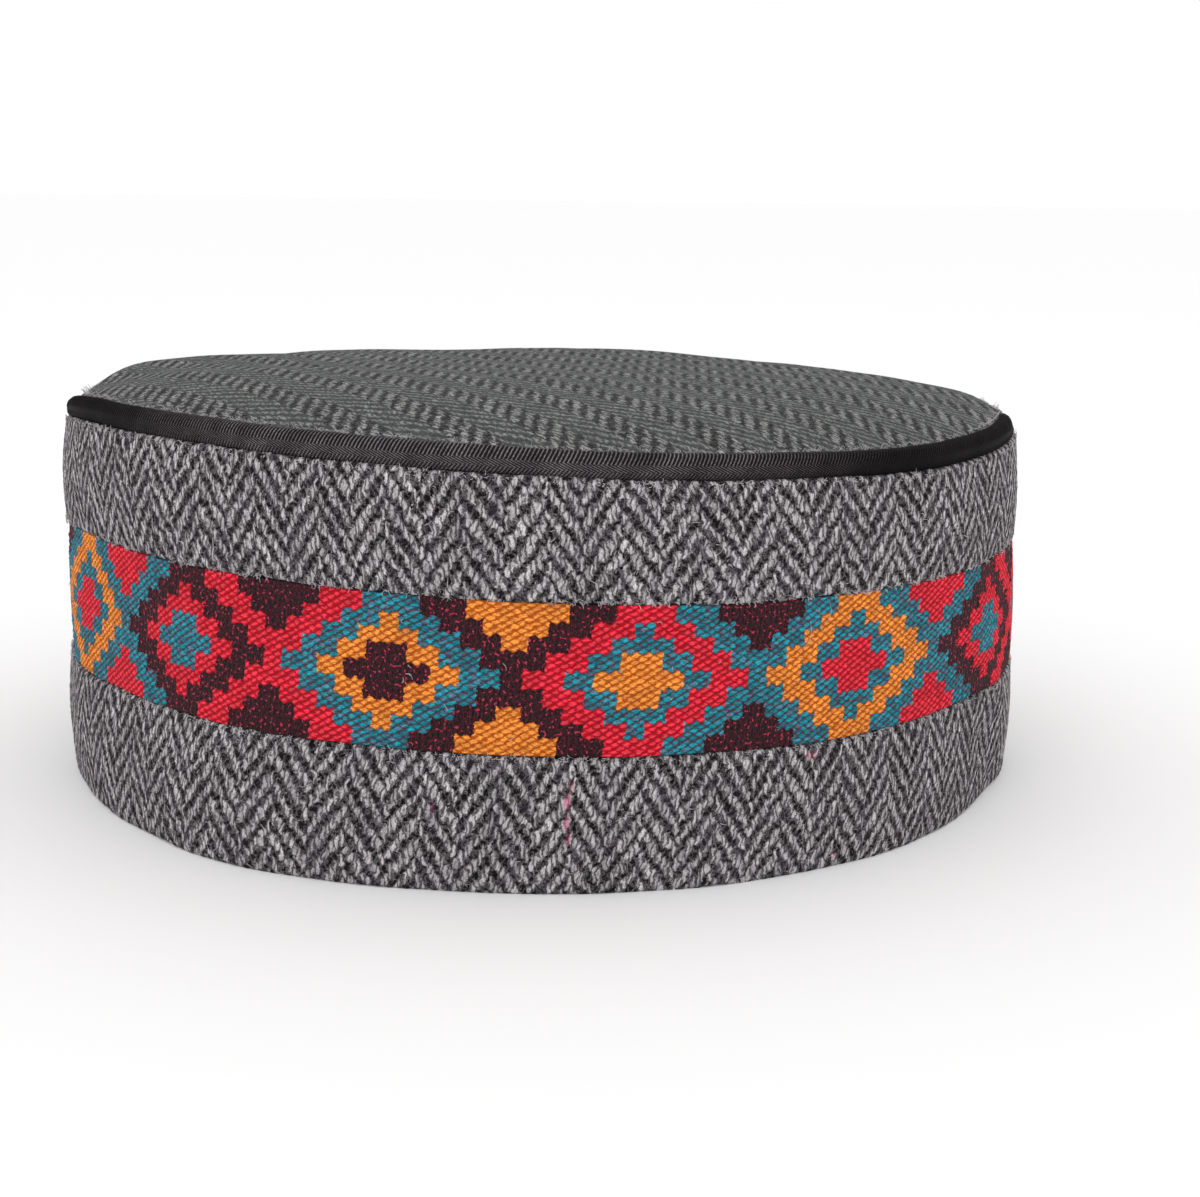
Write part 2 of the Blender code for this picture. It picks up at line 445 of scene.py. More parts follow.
def rounded_section(low, height, inset, thickness, bulge, round_outer, round_inner):
    """A strip's section as a closed path of radius and height: down the inner face, round the
    lower edge, up the bulged outer face, over the upper edge and down again to the start."""
    top = low + height
    quarter = np.linspace(0, pi / 2, 9)

    def corner(radius, level, size, start):
        turn = start + quarter
        return np.stack((radius + size * np.cos(turn), level + size * np.sin(turn)), axis=-1)

    foot, head = wall_radius(low) - inset, wall_radius(top) - inset
    share = np.linspace(0, 1, 41)[1:-1]
    level = low + round_outer + share * (height - 2 * round_outer)
    face = np.stack((wall_radius(level) - inset + bulge * np.sin(pi * share), level), axis=-1)
    middle = ((wall_radius(low + height / 2) - inset - thickness, low + height / 2),)
    path = np.concatenate(
        (
            middle,
            corner(foot - thickness + round_inner, low + round_inner, round_inner, pi),
            corner(foot - round_outer, low + round_outer, round_outer, -pi / 2),
            face,
            corner(head - round_outer, top - round_outer, round_outer, 0),
            corner(head - thickness + round_inner, top - round_inner, round_inner, pi / 2),
            middle,
        )
    )
    reach = path_reach(path)
    outer_from = 1 + len(quarter)
    upper_from = outer_from + 2 * len(quarter) + len(share)
    upper_to = upper_from + len(quarter) - 1
    marks = (1, len(quarter), outer_from, upper_from - 1, upper_from, upper_to)
    return path, reach, tuple(reach[mark] for mark in marks)


def along_section(path, reach, at):
    """Radius, height and outward normal of a section's path at each distance along it."""
    radius = np.interp(at, reach, path[:, 0])
    height = np.interp(at, reach, path[:, 1])
    step = 0.25 * MM
    run = np.interp(at + step, reach, path[:, 0]) - np.interp(at - step, reach, path[:, 0])
    climb = np.interp(at + step, reach, path[:, 1]) - np.interp(at - step, reach, path[:, 1])
    size = np.maximum(np.hypot(run, climb), 1e-9)
    return radius, height, climb / size, -run / size


def section_rows(marks, spacing):
    """Distances along a section: evenly fine over its outer face, with only the ends of both
    inner corners beyond it. Also the rows where the outer face starts and ends."""
    low_from, low_to, outer_from, outer_to, high_from, high_to = marks
    fine = np.linspace(outer_from, outer_to, int(round((outer_to - outer_from) / spacing)) + 1)
    return np.concatenate(((0.0, low_from, low_to), fine, (high_from, high_to))), 3, 2 + len(fine)


# Meshes


def fold_layout(columns, reach, folds, fine_from, fine_to):
    """Lays a ring's surface out in stacked rows for baking. The outer face keeps its true shape
    and the rest of the section is narrowed. Returns the left and right of each column, where
    its row starts and how far up it each row of faces is."""
    width = np.full(len(reach) - 1, HIDDEN_WIDTH)
    width[fine_from:fine_to] = 1.0
    up = np.concatenate(((0.0,), np.cumsum(np.diff(reach) * width)))
    row_columns = int(np.ceil(columns / folds))
    step = ROUND_ONCE / columns
    side = max(step * row_columns, up[-1] * folds * ROW_ROOM) * MAP_ROOM
    column = np.arange(columns)
    fold = column // row_columns
    left = (column - fold * row_columns) * step / side + MAP_MARGIN
    right = left + step / side
    base = fold * (up[-1] * ROW_ROOM) / side + MAP_MARGIN
    return left, right, base, up / side


def ring_piece(name, places, threads_round, threads_up, reach, folds, fine, materials, inner=()):
    """A tube closed both ways from a grid of places, columns round the cap and rows round the
    section, with the thread map and the bake map on its faces' corners. The inner rows have the
    second material."""
    columns, rows = places.shape[:2]
    number = np.arange(columns * rows).reshape(columns, rows)
    beside = np.roll(number, -1, axis=0)
    corners = (number, beside, np.roll(beside, -1, axis=1), np.roll(number, -1, axis=1))
    faces = np.stack(corners, axis=-1)
    mesh = bpy.data.meshes.new(name)
    mesh.from_pydata(places.reshape(-1, 3), [], faces.reshape(-1, 4))
    left, right = threads_round[:-1, None], threads_round[1:, None]
    low, high = threads_up[None, :-1], threads_up[None, 1:]
    lay_map(mesh, CLOTH_MAP, left, right, low, high)
    left, right, base, up = fold_layout(columns, reach, folds, *fine)
    low, high = base[:, None] + up[None, :-1], base[:, None] + up[None, 1:]
    lay_map(mesh, BAKE_MAP, left[:, None], right[:, None], low, high)
    lined = np.zeros((columns, rows), np.int32)
    lined[:, list(inner)] = 1
    mesh.polygons.foreach_set("material_index", lined.ravel())
    return finished_piece(name, mesh, materials)


def wall_piece(name, places, threads_round, threads_up, at, fine, materials):
    """A strip of the wall as a ring in four rows for baking. Its inner face has the lining."""
    last = len(at) - 2
    inner = (0, 1, last - 1, last)
    return ring_piece(name, places, threads_round, threads_up, at / MM, 4, fine, materials, inner)


def lay_map(mesh, name, left, right, low, high):
    """Gives every four-sided face of a grid its corners' places on a map."""
    left, right, low, high = np.broadcast_arrays(left, right, low, high)
    across = np.stack((left, right, right, left), axis=-1)
    up = np.stack((low, low, high, high), axis=-1)
    set_map(mesh, name, np.stack((across, up), axis=-1))


def set_map(mesh, name, places):
    """Adds a map with a place for each corner of each face."""
    layer = mesh.uv_layers.new(name=name)
    layer.data.foreach_set("uv", places.astype(np.float32).ravel())


def finished_piece(name, mesh, materials):
    """Links a mesh as a piece that rides on the cap's only body, smooth and with its materials."""
    mesh.validate()
    mesh.shade_smooth()
    for material in materials:
        mesh.materials.append(material)
    old = bpy.data.objects.get(name)
    if old is not None:
        bpy.data.objects.remove(old, do_unlink=True)
    piece = bpy.data.objects.new(name, mesh)
    bpy.context.scene.collection.objects.link(piece)
    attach(piece, "root")
    return piece


def stands_for(node):
    """The piece takes the place of one of the cap's solids, which is hidden."""
    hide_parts(node)


# Weaves, the same in numpy for the mesh and in nodes for the colour


def herringbone_height(ends, picks):
    """The cloth's height from -1 to 1. A warp rises over two picks and sinks under two, one pick
    later at each end up a column. Every eight ends the column turns back, with warps up where
    they were down. Each thread adds its round back, and the higher of the two threads shows."""
    thread = np.floor(ends) + 0.5
    side = np.where(np.mod(thread, REPEAT_ENDS) > COLUMN_ENDS, -1.0, 1.0)
    column = COLUMN_ENDS - np.abs(np.mod(ends, REPEAT_ENDS) - COLUMN_ENDS)
    thread_column = COLUMN_ENDS - np.abs(np.mod(thread, REPEAT_ENDS) - COLUMN_ENDS) - 0.5
    warp = side * np.cos((picks - thread_column - 1) * pi / 2) - 0.9 * (2 * (ends - thread)) ** 2
    weft = -side * np.cos((np.floor(picks) - column) * pi / 2)
    weft = weft - 0.9 * (2 * np.mod(picks, 1) - 1) ** 2
    return np.maximum(warp, weft)


def softened(height, across, up):
    """A height field read a little to each side of every place, so that edges don't alias."""
    near = 0.08
    return sum(height(across + dx, up + dy) for dx in (-near, near) for dy in (-near, near)) / 4


def motif_layers(stitch, row):
    """Which of the nested diamonds and edge triangles a stitch lies in, as true or false arrays,
    with the number of its motif and of the gap between motifs that it is nearest."""
    from_middle = np.abs(row)
    step = np.clip(np.ceil((from_middle - MIDDLE_ROW_HALF) / ROW_STITCHES), 0, MOTIF_ROWS)
    motif = np.floor((stitch + MOTIF_STITCHES / 2) / MOTIF_STITCHES)
    aside = np.abs(stitch - motif * MOTIF_STITCHES)
    gap = np.floor(stitch / MOTIF_STITCHES)
    gap_aside = np.abs(stitch - (gap + 0.5) * MOTIF_STITCHES)
    outer = aside < OUTER_HALF - STEP_STITCHES * step
    middle = aside < MIDDLE_HALF - STEP_STITCHES * step
    centre = aside < CENTRE_HALF - CENTRE_STEP * step
    edge = gap_aside < EDGE_HALF - EDGE_STEP * (MOTIF_ROWS - step)
    return outer, middle, centre, edge, motif, gap


def coloured_stitches(stitch, row):
    """True where the design is red, teal or orange, and false where it is black."""
    outer, middle, centre, edge, motif, gap = motif_layers(stitch, row)

    def coloured(yarns, number):
        return np.array([yarn != "black" for yarn in yarns])[np.mod(number, len(yarns)).astype(int)]

    shown = np.where(edge, coloured(EDGE_YARNS, gap), coloured(GAP_YARNS, gap))
    shown = np.where(outer, coloured(OUTER_YARNS, motif), shown)
    shown = np.where(middle, coloured(MIDDLE_YARNS, motif), shown)
    return np.where(centre, coloured(CENTRE_YARNS, motif), shown)


def stitch_height(stitch, row):
    """The band's height from 0 to 1. Coloured stitches fill the diamond cells of a brick
    lattice: 1 less the fourth power of the distance along the diagonal that runs up to the right
    and the square of the distance off it. The black ground is low ribs one warp apart."""
    across = stitch - 2 * np.round(stitch / 2)
    up = row - 2 * np.round(row / 2)
    other = (np.abs(across) + np.abs(up)) > 1
    across = across - other * np.sign(across)
    up = up - other * np.sign(up)
    coloured = coloured_stitches(stitch, row - up)
    grain = np.clip(1 - END_FALL * (across + up) ** 4 - SIDE_FALL * (across - up) ** 2, 0, 1)
    rib = 0.12 + 0.12 * np.cos(tau * stitch)
    return np.where(coloured, 0.25 + 0.75 * grain, rib)


# Nodes


class Recipe:
    """A material's nodes, made by short calls. A value in a call is a number or a socket."""

    def __init__(self, name):
        self.material = bpy.data.materials.get(name) or bpy.data.materials.new(name)
        self.material.use_nodes = True
        self.tree = self.material.node_tree
        self.tree.nodes.clear()
        self.shader = self.tree.nodes.new("ShaderNodeBsdfPrincipled")
        output = self.tree.nodes.new("ShaderNodeOutputMaterial")
        self.tree.links.new(self.shader.outputs[0], output.inputs["Surface"])

    def feed(self, socket, value):
        """Links a socket to an input, or sets the input to a number or colour."""
        if isinstance(value, bpy.types.NodeSocket):
            self.tree.links.new(value, socket)
        elif isinstance(value, tuple) and socket.type == "RGBA":
            socket.default_value = (*value[:3], 1.0)
        else:
            socket.default_value = value

    def math(self, operation, first, second=0.0, third=0.0):
        """One Math node."""
        node = self.tree.nodes.new("ShaderNodeMath")
        node.operation = operation
        for socket, value in zip(node.inputs, (first, second, third)):
            self.feed(socket, value)
        return node.outputs[0]

    def add(self, first, second):
        """The sum of both."""
        return self.math("ADD", first, second)

    def less(self, first, second):
        """The first less the second."""
        return self.math("SUBTRACT", first, second)

    def times(self, first, second):
        """Both multiplied."""
        return self.math("MULTIPLY", first, second)

    def over(self, value, scale, offset):
        """The value times a scale, plus an offset."""
        return self.math("MULTIPLY_ADD", value, scale, offset)

    def square(self, value):
        """The value times itself."""
        return self.times(value, value)

    def wave(self, turns):
        """A cosine wave that is 1 on each whole number and -1 half way between."""
        return self.math("COSINE", self.times(turns, tau))

    def blend(self, share, first, second):
        """First where the share is 0, second where it is 1, colours in between."""
        node = self.tree.nodes.new("ShaderNodeMix")
        node.data_type = "RGBA"
        self.feed(node.inputs["Factor"], share)
        self.feed(node.inputs[6], first)
        self.feed(node.inputs[7], second)
        return node.outputs[2]

    def shade(self, colour, amount):
        """A colour made lighter or darker by a number."""
        node = self.tree.nodes.new("ShaderNodeVectorMath")
        node.operation = "SCALE"
        self.feed(node.inputs[0], colour)
        self.feed(node.inputs["Scale"], amount)
        return node.outputs[0]

    def split(self, vector):
        """The first two numbers of a vector."""
        node = self.tree.nodes.new("ShaderNodeSeparateXYZ")
        self.feed(node.inputs[0], vector)
        return node.outputs[0], node.outputs[1]

    def deeper(self, colour):
        """A colour times itself, as where light bounces between threads of one colour."""
        node = self.tree.nodes.new("ShaderNodeVectorMath")
        node.operation = "MULTIPLY"
        self.feed(node.inputs[0], colour)
        self.feed(node.inputs[1], colour)
        return node.outputs[0]

    def smooth(self, value, low, high, to_low=0.0, to_high=1.0):
        """A smooth step from one value to another as a value goes from low to high."""
        node = self.tree.nodes.new("ShaderNodeMapRange")
        node.interpolation_type = "SMOOTHSTEP"
        for number, part in enumerate((value, low, high, to_low, to_high)):
            self.feed(node.inputs[number], part)
        return node.outputs[0]

    def pair(self, across, up):
        """A place made of two numbers."""
        node = self.tree.nodes.new("ShaderNodeCombineXYZ")
        self.feed(node.inputs[0], across)
        self.feed(node.inputs[1], up)
        return node.outputs[0]

    def threads(self):
        """The two numbers of the piece's thread map."""
        place = self.tree.nodes.new("ShaderNodeUVMap")
        place.uv_map = CLOTH_MAP
        return self.split(place.outputs[0])

    def object_place(self):
        """The place on the piece in metres."""
        return self.tree.nodes.new("ShaderNodeTexCoord").outputs["Object"]

    def noise(self, place, scale, detail=2.0, roughness=0.5, flat=True):
        """Smooth noise round 0.5."""
        node = self.tree.nodes.new("ShaderNodeTexNoise")
        node.noise_dimensions = "2D" if flat else "3D"
        self.feed(node.inputs["Vector"], place)
        self.feed(node.inputs["Scale"], scale)
        self.feed(node.inputs["Detail"], detail)
        self.feed(node.inputs["Roughness"], roughness)
        return node.outputs[0]

    def drift(self, place, scale, size, detail=2.0, roughness=0.5):
        """Smooth noise round 0, times a size."""
        return self.times(self.less(self.noise(place, scale, detail, roughness), 0.5), size)

    def mottled(self, colour, place, scale, size, least):
        """A colour with soft patches that are lighter and darker."""
        return self.shade(colour, self.over(self.noise(place, scale, 3.0, 0.55), size, least))

    def random(self, place):
        """One even random number for each whole place."""
        node = self.tree.nodes.new("ShaderNodeTexWhiteNoise")
        node.noise_dimensions = "2D"
        self.feed(node.inputs["Vector"], place)
        return node.outputs["Value"]

    def chosen(self, number, colours):
        """The colour in a list whose turn it is, counting round and round."""
        ramp = self.tree.nodes.new("ShaderNodeValToRGB")
        ramp.color_ramp.interpolation = "CONSTANT"
        stops = ramp.color_ramp.elements
        while len(stops) < len(colours):
            stops.new(0.5)
        for place, colour in enumerate(colours):
            stops[place].position = place / len(colours)
        for stop, colour in zip(stops, colours):
            stop.color = (*colour[:3], 1.0)
        turn = self.math("FLOORED_MODULO", self.add(number, 0.5), len(colours))
        self.feed(ramp.inputs[0], self.math("DIVIDE", turn, len(colours)))
        return ramp.outputs[0]

    def bumped(self, height, distance, strength=1.0):
        """Small relief that only the light shows."""
        node = self.tree.nodes.new("ShaderNodeBump")
        self.feed(node.inputs["Height"], height)
        self.feed(node.inputs["Distance"], distance)
        self.feed(node.inputs["Strength"], strength)
        return node.outputs[0]

    def finish(self, colour, roughness, normal, sheen, specular):
        """Sets the shader. The numbers are the same all over, so they sit on its own sockets."""
        self.feed(self.shader.inputs["Base Color"], colour)
        self.feed(self.shader.inputs["Normal"], normal)
        self.shader.inputs["Roughness"].default_value = roughness
        self.shader.inputs["Sheen Weight"].default_value = sheen
        self.shader.inputs["Sheen Roughness"].default_value = 0.6
        self.shader.inputs["Specular IOR Level"].default_value = specular
        return self.material


def woven_threads(r, ends, picks):
    """The nodes of herringbone_height, on ragged thread edges. Returns the heights of warp and
    weft, how far a place is from the middle of its dark float, whether its column turns back,
    and a random number for each float of the warp and of the weft."""
    place = r.pair(ends, picks)
    elsewhere = r.pair(r.add(ends, 71.0), picks)
    wander = r.add(r.drift(place, 0.6, 1.8, 1.0), r.drift(place, 3.2, 0.75))
    wander_up = r.add(r.drift(elsewhere, 0.55, 2.4, 1.0), r.drift(elsewhere, 2.8, 1.1))
    ends_ragged, picks_ragged = r.add(ends, wander), r.add(picks, wander_up)
    thread = r.add(r.math("FLOOR", ends_ragged), 0.5)
    pick = r.math("FLOOR", picks_ragged)
    column = r.math("PINGPONG", ends_ragged, COLUMN_ENDS)
    thread_column = r.less(r.math("PINGPONG", thread, COLUMN_ENDS), 0.5)
    turned = r.math("GREATER_THAN", r.math("FLOORED_MODULO", thread, REPEAT_ENDS), COLUMN_ENDS)
    side = r.over(turned, -2.0, 1.0)
    phase = r.less(r.less(picks_ragged, thread_column), 1.0)
    rise = r.times(side, r.math("COSINE", r.times(phase, pi / 2)))
    from_thread = r.square(r.times(r.less(ends_ragged, thread), 2.0))
    from_pick = r.square(r.over(r.less(picks_ragged, pick), 2.0, -1.0))
    sink = r.times(side, r.math("COSINE", r.times(r.less(pick, column), pi / 2)))
    warp = r.less(rise, r.times(from_thread, 1.4))
    weft = r.less(r.times(sink, -1.0), r.times(from_pick, 0.9))
    from_float = r.add(r.add(sink, 1.0), r.times(from_pick, 0.85))
    float_number = r.math("FLOOR", r.over(phase, 0.25, r.over(turned, 0.5, 0.25)))
    warp_lot = r.random(r.pair(thread, float_number))
    weft_lot = r.random(r.pair(r.math("FLOOR", r.times(ends, 0.5)), r.add(pick, 0.5)))
    return warp, weft, from_float, turned, warp_lot, weft_lot


def stray_hairs(r, ends, picks):
    """How much a stray hair covers each place: thin lines where slow noise crosses its middle
    value, here and there in patches."""
    hair = r.noise(r.pair(r.add(ends, 31.0), picks), 0.8, 1.0, 0.4)
    line = r.smooth(r.math("ABSOLUTE", r.less(hair, 0.5)), 0.0, 0.014, 0.6, 0.0)
    patches = r.smooth(r.noise(r.pair(ends, picks), 0.4, 1.0), 0.45, 0.6)
    return r.times(line, patches)


def dyed_share(r, ends, picks, fuzz, stain):
    """How much of a stain's dye lies on each place: an oval with a fuzzy edge."""
    across, up, wide, tall, strength = stain
    away_across = r.math("DIVIDE", r.less(ends, across), wide)
    away_up = r.math("DIVIDE", r.less(picks, up), tall)
    away = r.add(r.square(away_across), r.square(away_up))
    return r.smooth(r.over(fuzz, 1.5, away), 0.6, 1.8, strength, 0.0)


def tweed_material(name, cloth, light_yarn, tint, veil, nap, relief, stains=()):
    """Herringbone tweed. The higher thread gives the colour. Each yarn has its streaks of fibre,
    and stray hairs and soft mottling lie over both. The veil is how far a haze of fibres in the
    tint hides the threads, and the nap is how much more of it lies over the columns that turn
    back."""
    r = Recipe(name)
    ends, picks = r.threads()
    place = r.pair(ends, picks)
    warp, weft, from_float, turned, warp_lot, weft_lot = woven_threads(r, ends, picks)
    height = r.math("MAXIMUM", warp, weft)
    fuzz = r.noise(r.pair(ends, r.over(ends, -0.3, picks)), 3.4, 2.0, 0.7)
    shows_warp = r.smooth(r.add(r.less(warp, weft), r.times(r.less(fuzz, 0.5), 3.2)), -0.45, 0.25)
    # Fibres lie askew along each yarn, as it was spun
    along_up = r.over(ends, 0.41, r.times(picks, 0.78))
    across_up = r.over(ends, 1.9, r.times(picks, -0.75))
    warp_fibre = r.noise(r.pair(across_up, along_up), 1.0, 2.0, 0.65)
    weft_along = r.over(ends, 0.8, r.times(picks, 0.6))
    weft_across = r.over(ends, -1.0, r.times(picks, 3.0))
    weft_fibre = r.noise(r.pair(weft_along, weft_across), 1.0, 2.0)
    lit = r.smooth(warp_fibre, 0.36, 0.62, 0.6, 0.98)
    light = r.shade(light_yarn, r.times(lit, r.over(warp_lot, 0.4, 0.76)))
    dim = r.add(r.smooth(weft_fibre, 0.50, 0.72, 0.08, 1.7), r.times(weft_lot, 0.2))
    dark = r.shade(cloth.dark_yarn[:], dim)
    # Light fibres creep over the ends and sides of each dark float
    creep = r.times(r.smooth(from_float, 0.45, 0.85), r.smooth(fuzz, 0.36, 0.56, 0.4, 1.0))
    dark = r.blend(creep, dark, r.shade(light_yarn, r.over(warp_fibre, 0.8, 0.06)))
    colour = r.blend(shows_warp, dark, light)
    # Shade between the threads
    colour = r.shade(colour, r.smooth(height, -0.35, 0.65, 0.24, 1.04))
    grit = r.noise(r.pair(r.add(ends, 17.0), picks), 3.8, 2.0, 0.7)
    colour = r.shade(colour, r.smooth(grit, 0.34, 0.64, 0.74, 1.16))
    colour = r.blend(stray_hairs(r, ends, picks), colour, light_yarn)
    colour = r.mottled(colour, place, 0.09, 0.6, 0.7)
    haze = r.over(turned, nap, r.smooth(r.noise(place, 0.16, 2.0), 0.45, 0.75, veil, veil + 0.12))
    colour = r.blend(r.times(haze, r.smooth(fuzz, 0.3, 0.7, 1.3, 0.6)), colour, tint)
    for stain in stains:
        dye = r.blend(shows_warp, cloth.stain_dark[:], cloth.stain[:])
        colour = r.blend(dyed_share(r, ends, picks, fuzz, stain), colour, dye)
    normal = r.bumped(r.over(fuzz, 0.9, height), relief)
    return r.finish(colour, 0.95, normal, 0.0, 0.15)


def own_stitch(r, stitch_at, row_at):
    """How far a place is from the middle of its own stitch, across and up, in the brick lattice
    of stitch_height."""

    def from_even(value):
        return r.over(r.math("ROUND", r.times(value, 0.5)), -2.0, value)

    across, up = from_even(stitch_at), from_even(row_at)
    both = r.add(r.math("ABSOLUTE", across), r.math("ABSOLUTE", up))
    other = r.math("GREATER_THAN", both, 1.0)
    across = r.less(across, r.times(other, r.math("SIGN", across)))
    return across, r.less(up, r.times(other, r.math("SIGN", up)))


def motif_colour(r, cloth, stitch_at, own_row):
    """The colour of the nested stepped diamonds and edge triangles, found as in motif_layers."""

    def inside(aside, half, step, count):
        return r.math("LESS_THAN", aside, r.over(count, -step, half))

    beyond = r.math("DIVIDE", r.less(r.math("ABSOLUTE", own_row), MIDDLE_ROW_HALF), ROW_STITCHES)
    step = r.math("MINIMUM", r.math("MAXIMUM", r.math("CEIL", beyond), 0.0), MOTIF_ROWS)
    motif = r.math("FLOOR", r.times(r.add(stitch_at, MOTIF_STITCHES / 2), 1 / MOTIF_STITCHES))
    aside = r.math("ABSOLUTE", r.over(motif, -MOTIF_STITCHES, stitch_at))
    gap = r.math("FLOOR", r.times(stitch_at, 1 / MOTIF_STITCHES))
    along_gap = r.over(gap, -MOTIF_STITCHES, stitch_at)
    gap_aside = r.math("ABSOLUTE", r.less(along_gap, MOTIF_STITCHES / 2))

    def yarn(names, number):
        return r.chosen(number, [getattr(cloth, each + "_yarn")[:] for each in names])

    edge = inside(gap_aside, EDGE_HALF, EDGE_STEP, r.less(float(MOTIF_ROWS), step))
    colour = r.blend(edge, yarn(GAP_YARNS, gap), yarn(EDGE_YARNS, gap))
    for half, narrower, yarns in (
        (OUTER_HALF, STEP_STITCHES, OUTER_YARNS),
        (MIDDLE_HALF, STEP_STITCHES, MIDDLE_YARNS),
        (CENTRE_HALF, CENTRE_STEP, CENTRE_YARNS),
    ):
        colour = r.blend(inside(aside, half, narrower, step), colour, yarn(yarns, motif))
    return colour


def ribbed_ground(r, cloth, colour, stitch, row, rib):
    """The black ground: its warps as thin ribs, with specks of the pink yarn behind."""
    speck = r.smooth(r.noise(r.pair(r.times(stitch, 1.6), row), 1.0, 1.0), 0.64, 0.74)
    streak = r.noise(r.pair(r.times(stitch, 3.6), r.times(row, 1.1)), 1.0, 2.0, 0.65)
    # Painted shade: each rib is lighter on its back and darker between, with streaks of fibre
    ribs = r.shade(colour, r.add(r.over(rib, 0.35, 0.55), r.over(streak, 2.0, -0.8)))
    ribs = r.blend(r.smooth(streak, 0.47, 0.64, 0.03, 0.5), ribs, cloth.band_ground[:])
    return r.blend(r.times(speck, 0.7), ribs, cloth.speck[:])


def band_material(name, cloth):
    """The woven band. The nodes find each stitch's own place on the lattice, read its colour
    from the design there, and lay it as a tilted grain over its own colour in painted shade."""
    r = Recipe(name)
    stitch, row = r.threads()
    place = r.pair(stitch, row)
    elsewhere = r.pair(r.add(stitch, 53.0), row)
    stitch_at = r.add(stitch, r.drift(place, 0.8, 1.25, 3.0, 0.65))
    row_at = r.add(row, r.drift(elsewhere, 0.8, 1.25, 3.0, 0.65))
    across, up = own_stitch(r, stitch_at, row_at)
    own_row = r.less(row_at, up)
    lot = r.random(r.pair(r.less(stitch_at, across), own_row))
    colour = motif_colour(r, cloth, stitch_at, own_row)
    # The black yarn is the only one this dark
    lightness = r.tree.nodes.new("ShaderNodeRGBToBW")
    r.feed(lightness.inputs[0], colour)
    coloured = r.math("GREATER_THAN", lightness.outputs[0], 0.05)

    rising, falling = r.square(r.add(across, up)), r.square(r.less(across, up))
    fall = r.add(r.times(r.square(rising), END_FALL), r.times(falling, SIDE_FALL))
    grain = r.less(1.0, fall)
    fibre_up = r.over(stitch, -1.4, r.times(row, 3.4))
    fibre = r.noise(r.pair(r.times(stitch, 1.5), fibre_up), 1.0, 2.0, 0.65)
    redness = r.tree.nodes.new("ShaderNodeSeparateColor")
    r.feed(redness.inputs[0], colour)
    cool = r.smooth(redness.outputs[0], 0.05, 0.5, 1.0, 0.0)
    odd = r.times(cool, r.smooth(r.noise(place, 0.75, 2.0, 0.6), 0.50, 0.66))
    lot_light = r.over(lot, r.over(cool, 0.35, 0.36), r.over(cool, -0.1, 0.8))
    lit = r.times(r.smooth(fibre, 0.34, 0.66, 0.55, 1.22), lot_light)
    thread_colour = r.shade(r.blend(r.times(odd, 0.7), colour, cloth.odd_stitch[:]), lit)
    # Painted shade: each stitch is lighter along its crest and darker towards its edges
    thread_colour = r.shade(thread_colour, r.smooth(grain, 0.3, 1.0, 0.85, 1.2))
    # Painted highlight on each stitch's back, among the red and orange only
    painted_highlight = r.times(r.smooth(grain, 0.6, 1.0, 0.0, 0.06), r.less(1.0, cool))
    crest = r.blend(painted_highlight, thread_colour, cloth.stitch_highlight[:])
    # Painted shade in the gaps between stitches: the stitch's own colour times itself and darkened, with
    # the maroon ground yarn mixed in where it is teal
    shaded_gap = r.blend(0.16, r.shade(r.deeper(colour), 0.40), colour)
    maroon = r.times(cool, r.smooth(fibre, 0.4, 0.6, 0.1, 0.7))
    shaded_gap = r.blend(maroon, shaded_gap, cloth.band_ground[:])
    grained = r.blend(r.smooth(r.over(fibre, 0.8, grain), 0.25, 1.1), shaded_gap, crest)
    rib = r.wave(stitch_at)
    ground = ribbed_ground(r, cloth, colour, stitch, row, rib)
    colour = r.mottled(r.blend(coloured, ground, grained), place, 0.12, 0.4, 0.8)
    ground_height = r.times(r.less(1.0, coloured), r.times(rib, 0.25))
    height = r.add(r.times(coloured, r.math("MAXIMUM", grain, 0.0)), ground_height)
    normal = r.bumped(r.over(fibre, 0.7, height), 0.00016)
    return r.finish(colour, 0.85, normal, 0.0, 0.25)


def binding_material(name, cloth):
    """Black ribbed twill: ribs on the upper fold, slanting ones on the lower, fine lines that
    fall to the right between them, and painted sheen on them, brightest in front, in patches."""
    r = Recipe(name)
    rib_number, up = r.threads()
    place = r.pair(rib_number, up)
    rib = r.smooth(r.wave(rib_number), -0.1, 0.95, 0.05, 0.95)
    slanting = r.smooth(r.wave(r.over(up, -0.4, rib_number)), 0.0, 0.9)
    fine = r.smooth(r.wave(r.over(rib_number, 0.82, r.times(up, 2.7))), -0.2, 0.9)
    upper = r.smooth(up, 0.05, 0.55)
    lower = r.smooth(up, -1.2, -0.8, 0.7, 0.0)
    thread = r.noise(r.pair(r.times(rib_number, 3.0), r.times(up, 2.5)), 1.0, 2.0, 0.65)
    shown = r.add(r.times(upper, rib), r.times(lower, slanting))
    shown = r.add(shown, r.times(r.less(r.less(1.0, upper), lower), r.over(fine, 0.85, 0.08)))
    # Painted sheen: the ribs are lit brightest in front and less round the sides, in soft patches
    to_right, to_back = r.split(r.object_place())
    front_sheen = r.smooth(r.over(to_right, 0.12, to_back), -0.095, -0.062, 1.0, 0.08)
    patchy_sheen = r.times(front_sheen, r.over(r.noise(place, 0.12, 3.0, 0.6), 1.2, 0.15))
    light = r.times(r.times(shown, r.smooth(thread, 0.3, 0.65, 0.3, 1.1)), patchy_sheen)
    colour = r.blend(light, cloth.binding[:], cloth.binding_sheen[:])
    normal = r.bumped(r.over(thread, 0.3, shown), 0.00012)
    return r.finish(colour, 0.65, normal, 0.0, 0.03)


